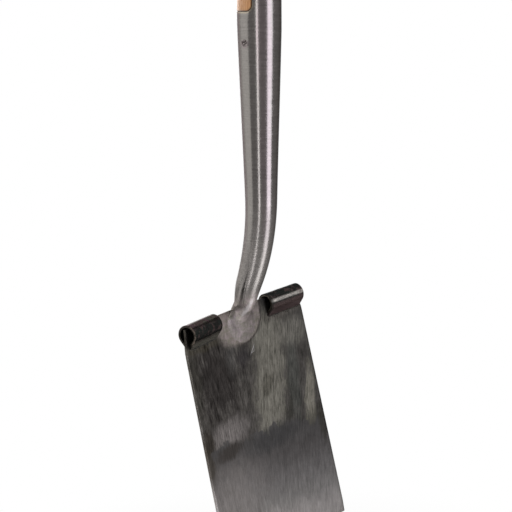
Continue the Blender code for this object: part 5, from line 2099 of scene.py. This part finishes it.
@dataclass
class Studio:
    """The plain pale floor, soft lamps, white surroundings and the camera."""

    floor_z: float = -0.28
    floor_size: float = 14.0
    floor_tones: tuple[Colour, Colour] = ((0.90, 0.90, 0.90), (0.86, 0.86, 0.86))
    shade_reach: tuple[float, float] = (0.10, 0.72)
    glow: float = 0.55
    ambient: float = 0.55
    camera_place: Point = (-0.74766, -0.53793, 0.54220)
    camera_turn: Point = (math.radians(75.7407), math.radians(0.6655), math.radians(-52.7072))
    lens: float = 70.54
    sensor: float = 36.0
    target: Point = (0.0, 0.03, 0.42)
    lamps: tuple[SoftBox, ...] = (
        SoftBox("key_strip", 4.2, 1.7, 0.46, 0.91, 1.45, 7.5, True, (0.90, 0.92, 1.0)),
        SoftBox("key_floor_far", 9.0, 1.26, -0.27, 0.62, 0.78, 4.5, True, (0.93, 0.95, 1.0), True),
        SoftBox("key_floor_near", 15.0, 0.62, -0.27, 0.34, 0.50, 3.9, True, (0.96, 0.98, 1.0), True),
        SoftBox("thin_strip", -65.6, 1.7, 0.46, 0.24, 1.45, 8.4, True, (0.96, 0.97, 1.0)),
        SoftBox("thin_floor", -68.0, 1.12, -0.27, 0.13, 1.10, 5.0, True, (0.96, 0.97, 1.0), True),
        SoftBox("side_wall_left", -142.2, 1.9, 0.46, 1.96, 1.45, 2.02, True, (0.98, 1.0, 0.98)),
        SoftBox("side_floor", -124.0, 1.0, -0.27, 0.95, 1.10, 1.5, True, (1.0, 1.0, 1.0), True),
        SoftBox("side_wall_back", -199.0, 1.9, 0.46, 2.05, 1.45, 2.6, True),
        SoftBox("ceiling", 0.0, 0.2, 2.30, 1.80, 1.80, 2.6, True),
        SoftBox("front_soft", -20.0, 2.4, 1.50, 1.80, 1.80, 0.75, False),
        SoftBox("left_soft", -100.0, 2.4, 1.20, 1.80, 1.80, 0.55, False),
    )

    def build_camera(self) -> None:
        """Stand the camera where the photograph was taken from."""
        data = bpy.data.cameras.new("camera")
        data.lens = self.lens
        data.sensor_width = self.sensor
        data.clip_start = 0.01
        camera = bpy.data.objects.new("camera", data)
        bpy.context.scene.collection.objects.link(camera)
        camera.location = self.camera_place
        camera.rotation_euler = self.camera_turn
        bpy.context.scene.camera = camera

    @staticmethod
    def seen(board: Board) -> Signal:
        """1 for camera, glossy and transmission rays, and 0 for the others."""
        total = board.node("ShaderNodeLightPath", {}, {}, "Is Camera Ray")
        rays = total.socket.node.outputs
        for name in ("Is Glossy Ray", "Is Transmission Ray"):
            total = total.most(Signal(board, rays[name]))
        return total

    def build_world(self) -> None:
        """White surroundings for the camera and for gloss, and a plainer level for matt surfaces."""
        world = bpy.data.worlds.new("white_room")
        bpy.context.scene.world = world
        board = Board(world)
        level = self.seen(board) * (1.0 - self.ambient) + self.ambient
        room = board.node("ShaderNodeBackground", {}, {"Color": (1.0, 1.0, 1.0), "Strength": level})
        board.node("ShaderNodeOutputWorld", {}, {"Surface": room})

    def build_floor(self) -> None:
        """A pale floor that keeps the shadow under the spade and turns white further out."""
        Bench.clear()
        bpy.ops.mesh.primitive_plane_add(size=self.floor_size, location=(0, 0, self.floor_z))
        floor = bpy.context.object
        floor.name = "floor"
        board = Board(bpy.data.materials.new("pale_floor"))
        x, y, _ = board.split(board.place())
        away = x.hypot(y).rise(*self.shade_reach)
        tone = board.mix(board.cloud(board.place(3.0), 1.0), *self.floor_tones)
        matt = board.node("ShaderNodeBsdfDiffuse", {}, {"Color": tone})
        white = board.node("ShaderNodeEmission", {}, {"Color": (1.0, 1.0, 1.0), "Strength": 1.0})
        whiteness = (away * (1.0 - self.glow) + self.glow) * self.seen(board)
        both = board.node("ShaderNodeMixShader", {}, {0: whiteness, 1: matt, 2: white})
        board.node("ShaderNodeOutputMaterial", {}, {"Surface": both})
        floor.data.materials.append(board.owner)

    def build(self) -> None:
        """Set the scene up."""
        self.build_camera()
        self.build_world()
        self.build_floor()
        for lamp in self.lamps:
            lamp.build(Vector(self.target))
        bpy.context.scene.view_settings.view_transform = "Standard"


def build_blade(stance: Stance, patch: GroundPatch) -> None:
    """The blade, and the two treads welded to its top edge."""
    blade = Blade(stance)
    blade.build(BladeSteel(stance, patch).make())
    scale = ForgeScale(stance).make()
    weld = WeldSteel().make()
    for tread in (
        Tread(stance, blade, Side.LEFT, inset=0.0052, length=0.0451),
        Tread(stance, blade, Side.RIGHT, inset=0.0018, length=0.0492),
    ):
        tread.build(scale)
        tread.build_beads(weld)


def build_socket(socket: Socket, patch: GroundPatch) -> None:
    """The socket's two shells."""
    steel = SocketSteel(socket.stance, patch, socket).make()
    socket.build_front(steel)
    socket.build_back(steel)


def build_handle(socket: Socket) -> None:
    """The shaft with its grip, and the rivets that hold it."""
    stance = socket.stance
    shaft = Shaft(stance, socket)
    grip = Grip(stance, shaft)
    rivets = Rivets(stance, socket, shaft)
    ash = AshWood(socket).make()
    peened = PeenedSteel().make()
    shaft.build(ash)
    grip.build_bar(ash)
    grip.build_rod(peened)
    rivets.build_side(FiledSteel(rivets.side_centre).make())
    rivets.build_strap(peened)
    rivets.build_crotch(peened)


def main() -> None:
    """Build and dress every sub-assembly in order."""
    logging.basicConfig(level=logging.INFO, format="%(name)s: %(message)s")
    stance = Stance()
    patch = GroundPatch()
    socket = Socket(stance)
    build_blade(stance, patch)
    build_socket(socket, patch)
    build_handle(socket)
    Studio().build()


if __name__ == "__main__":
    main()
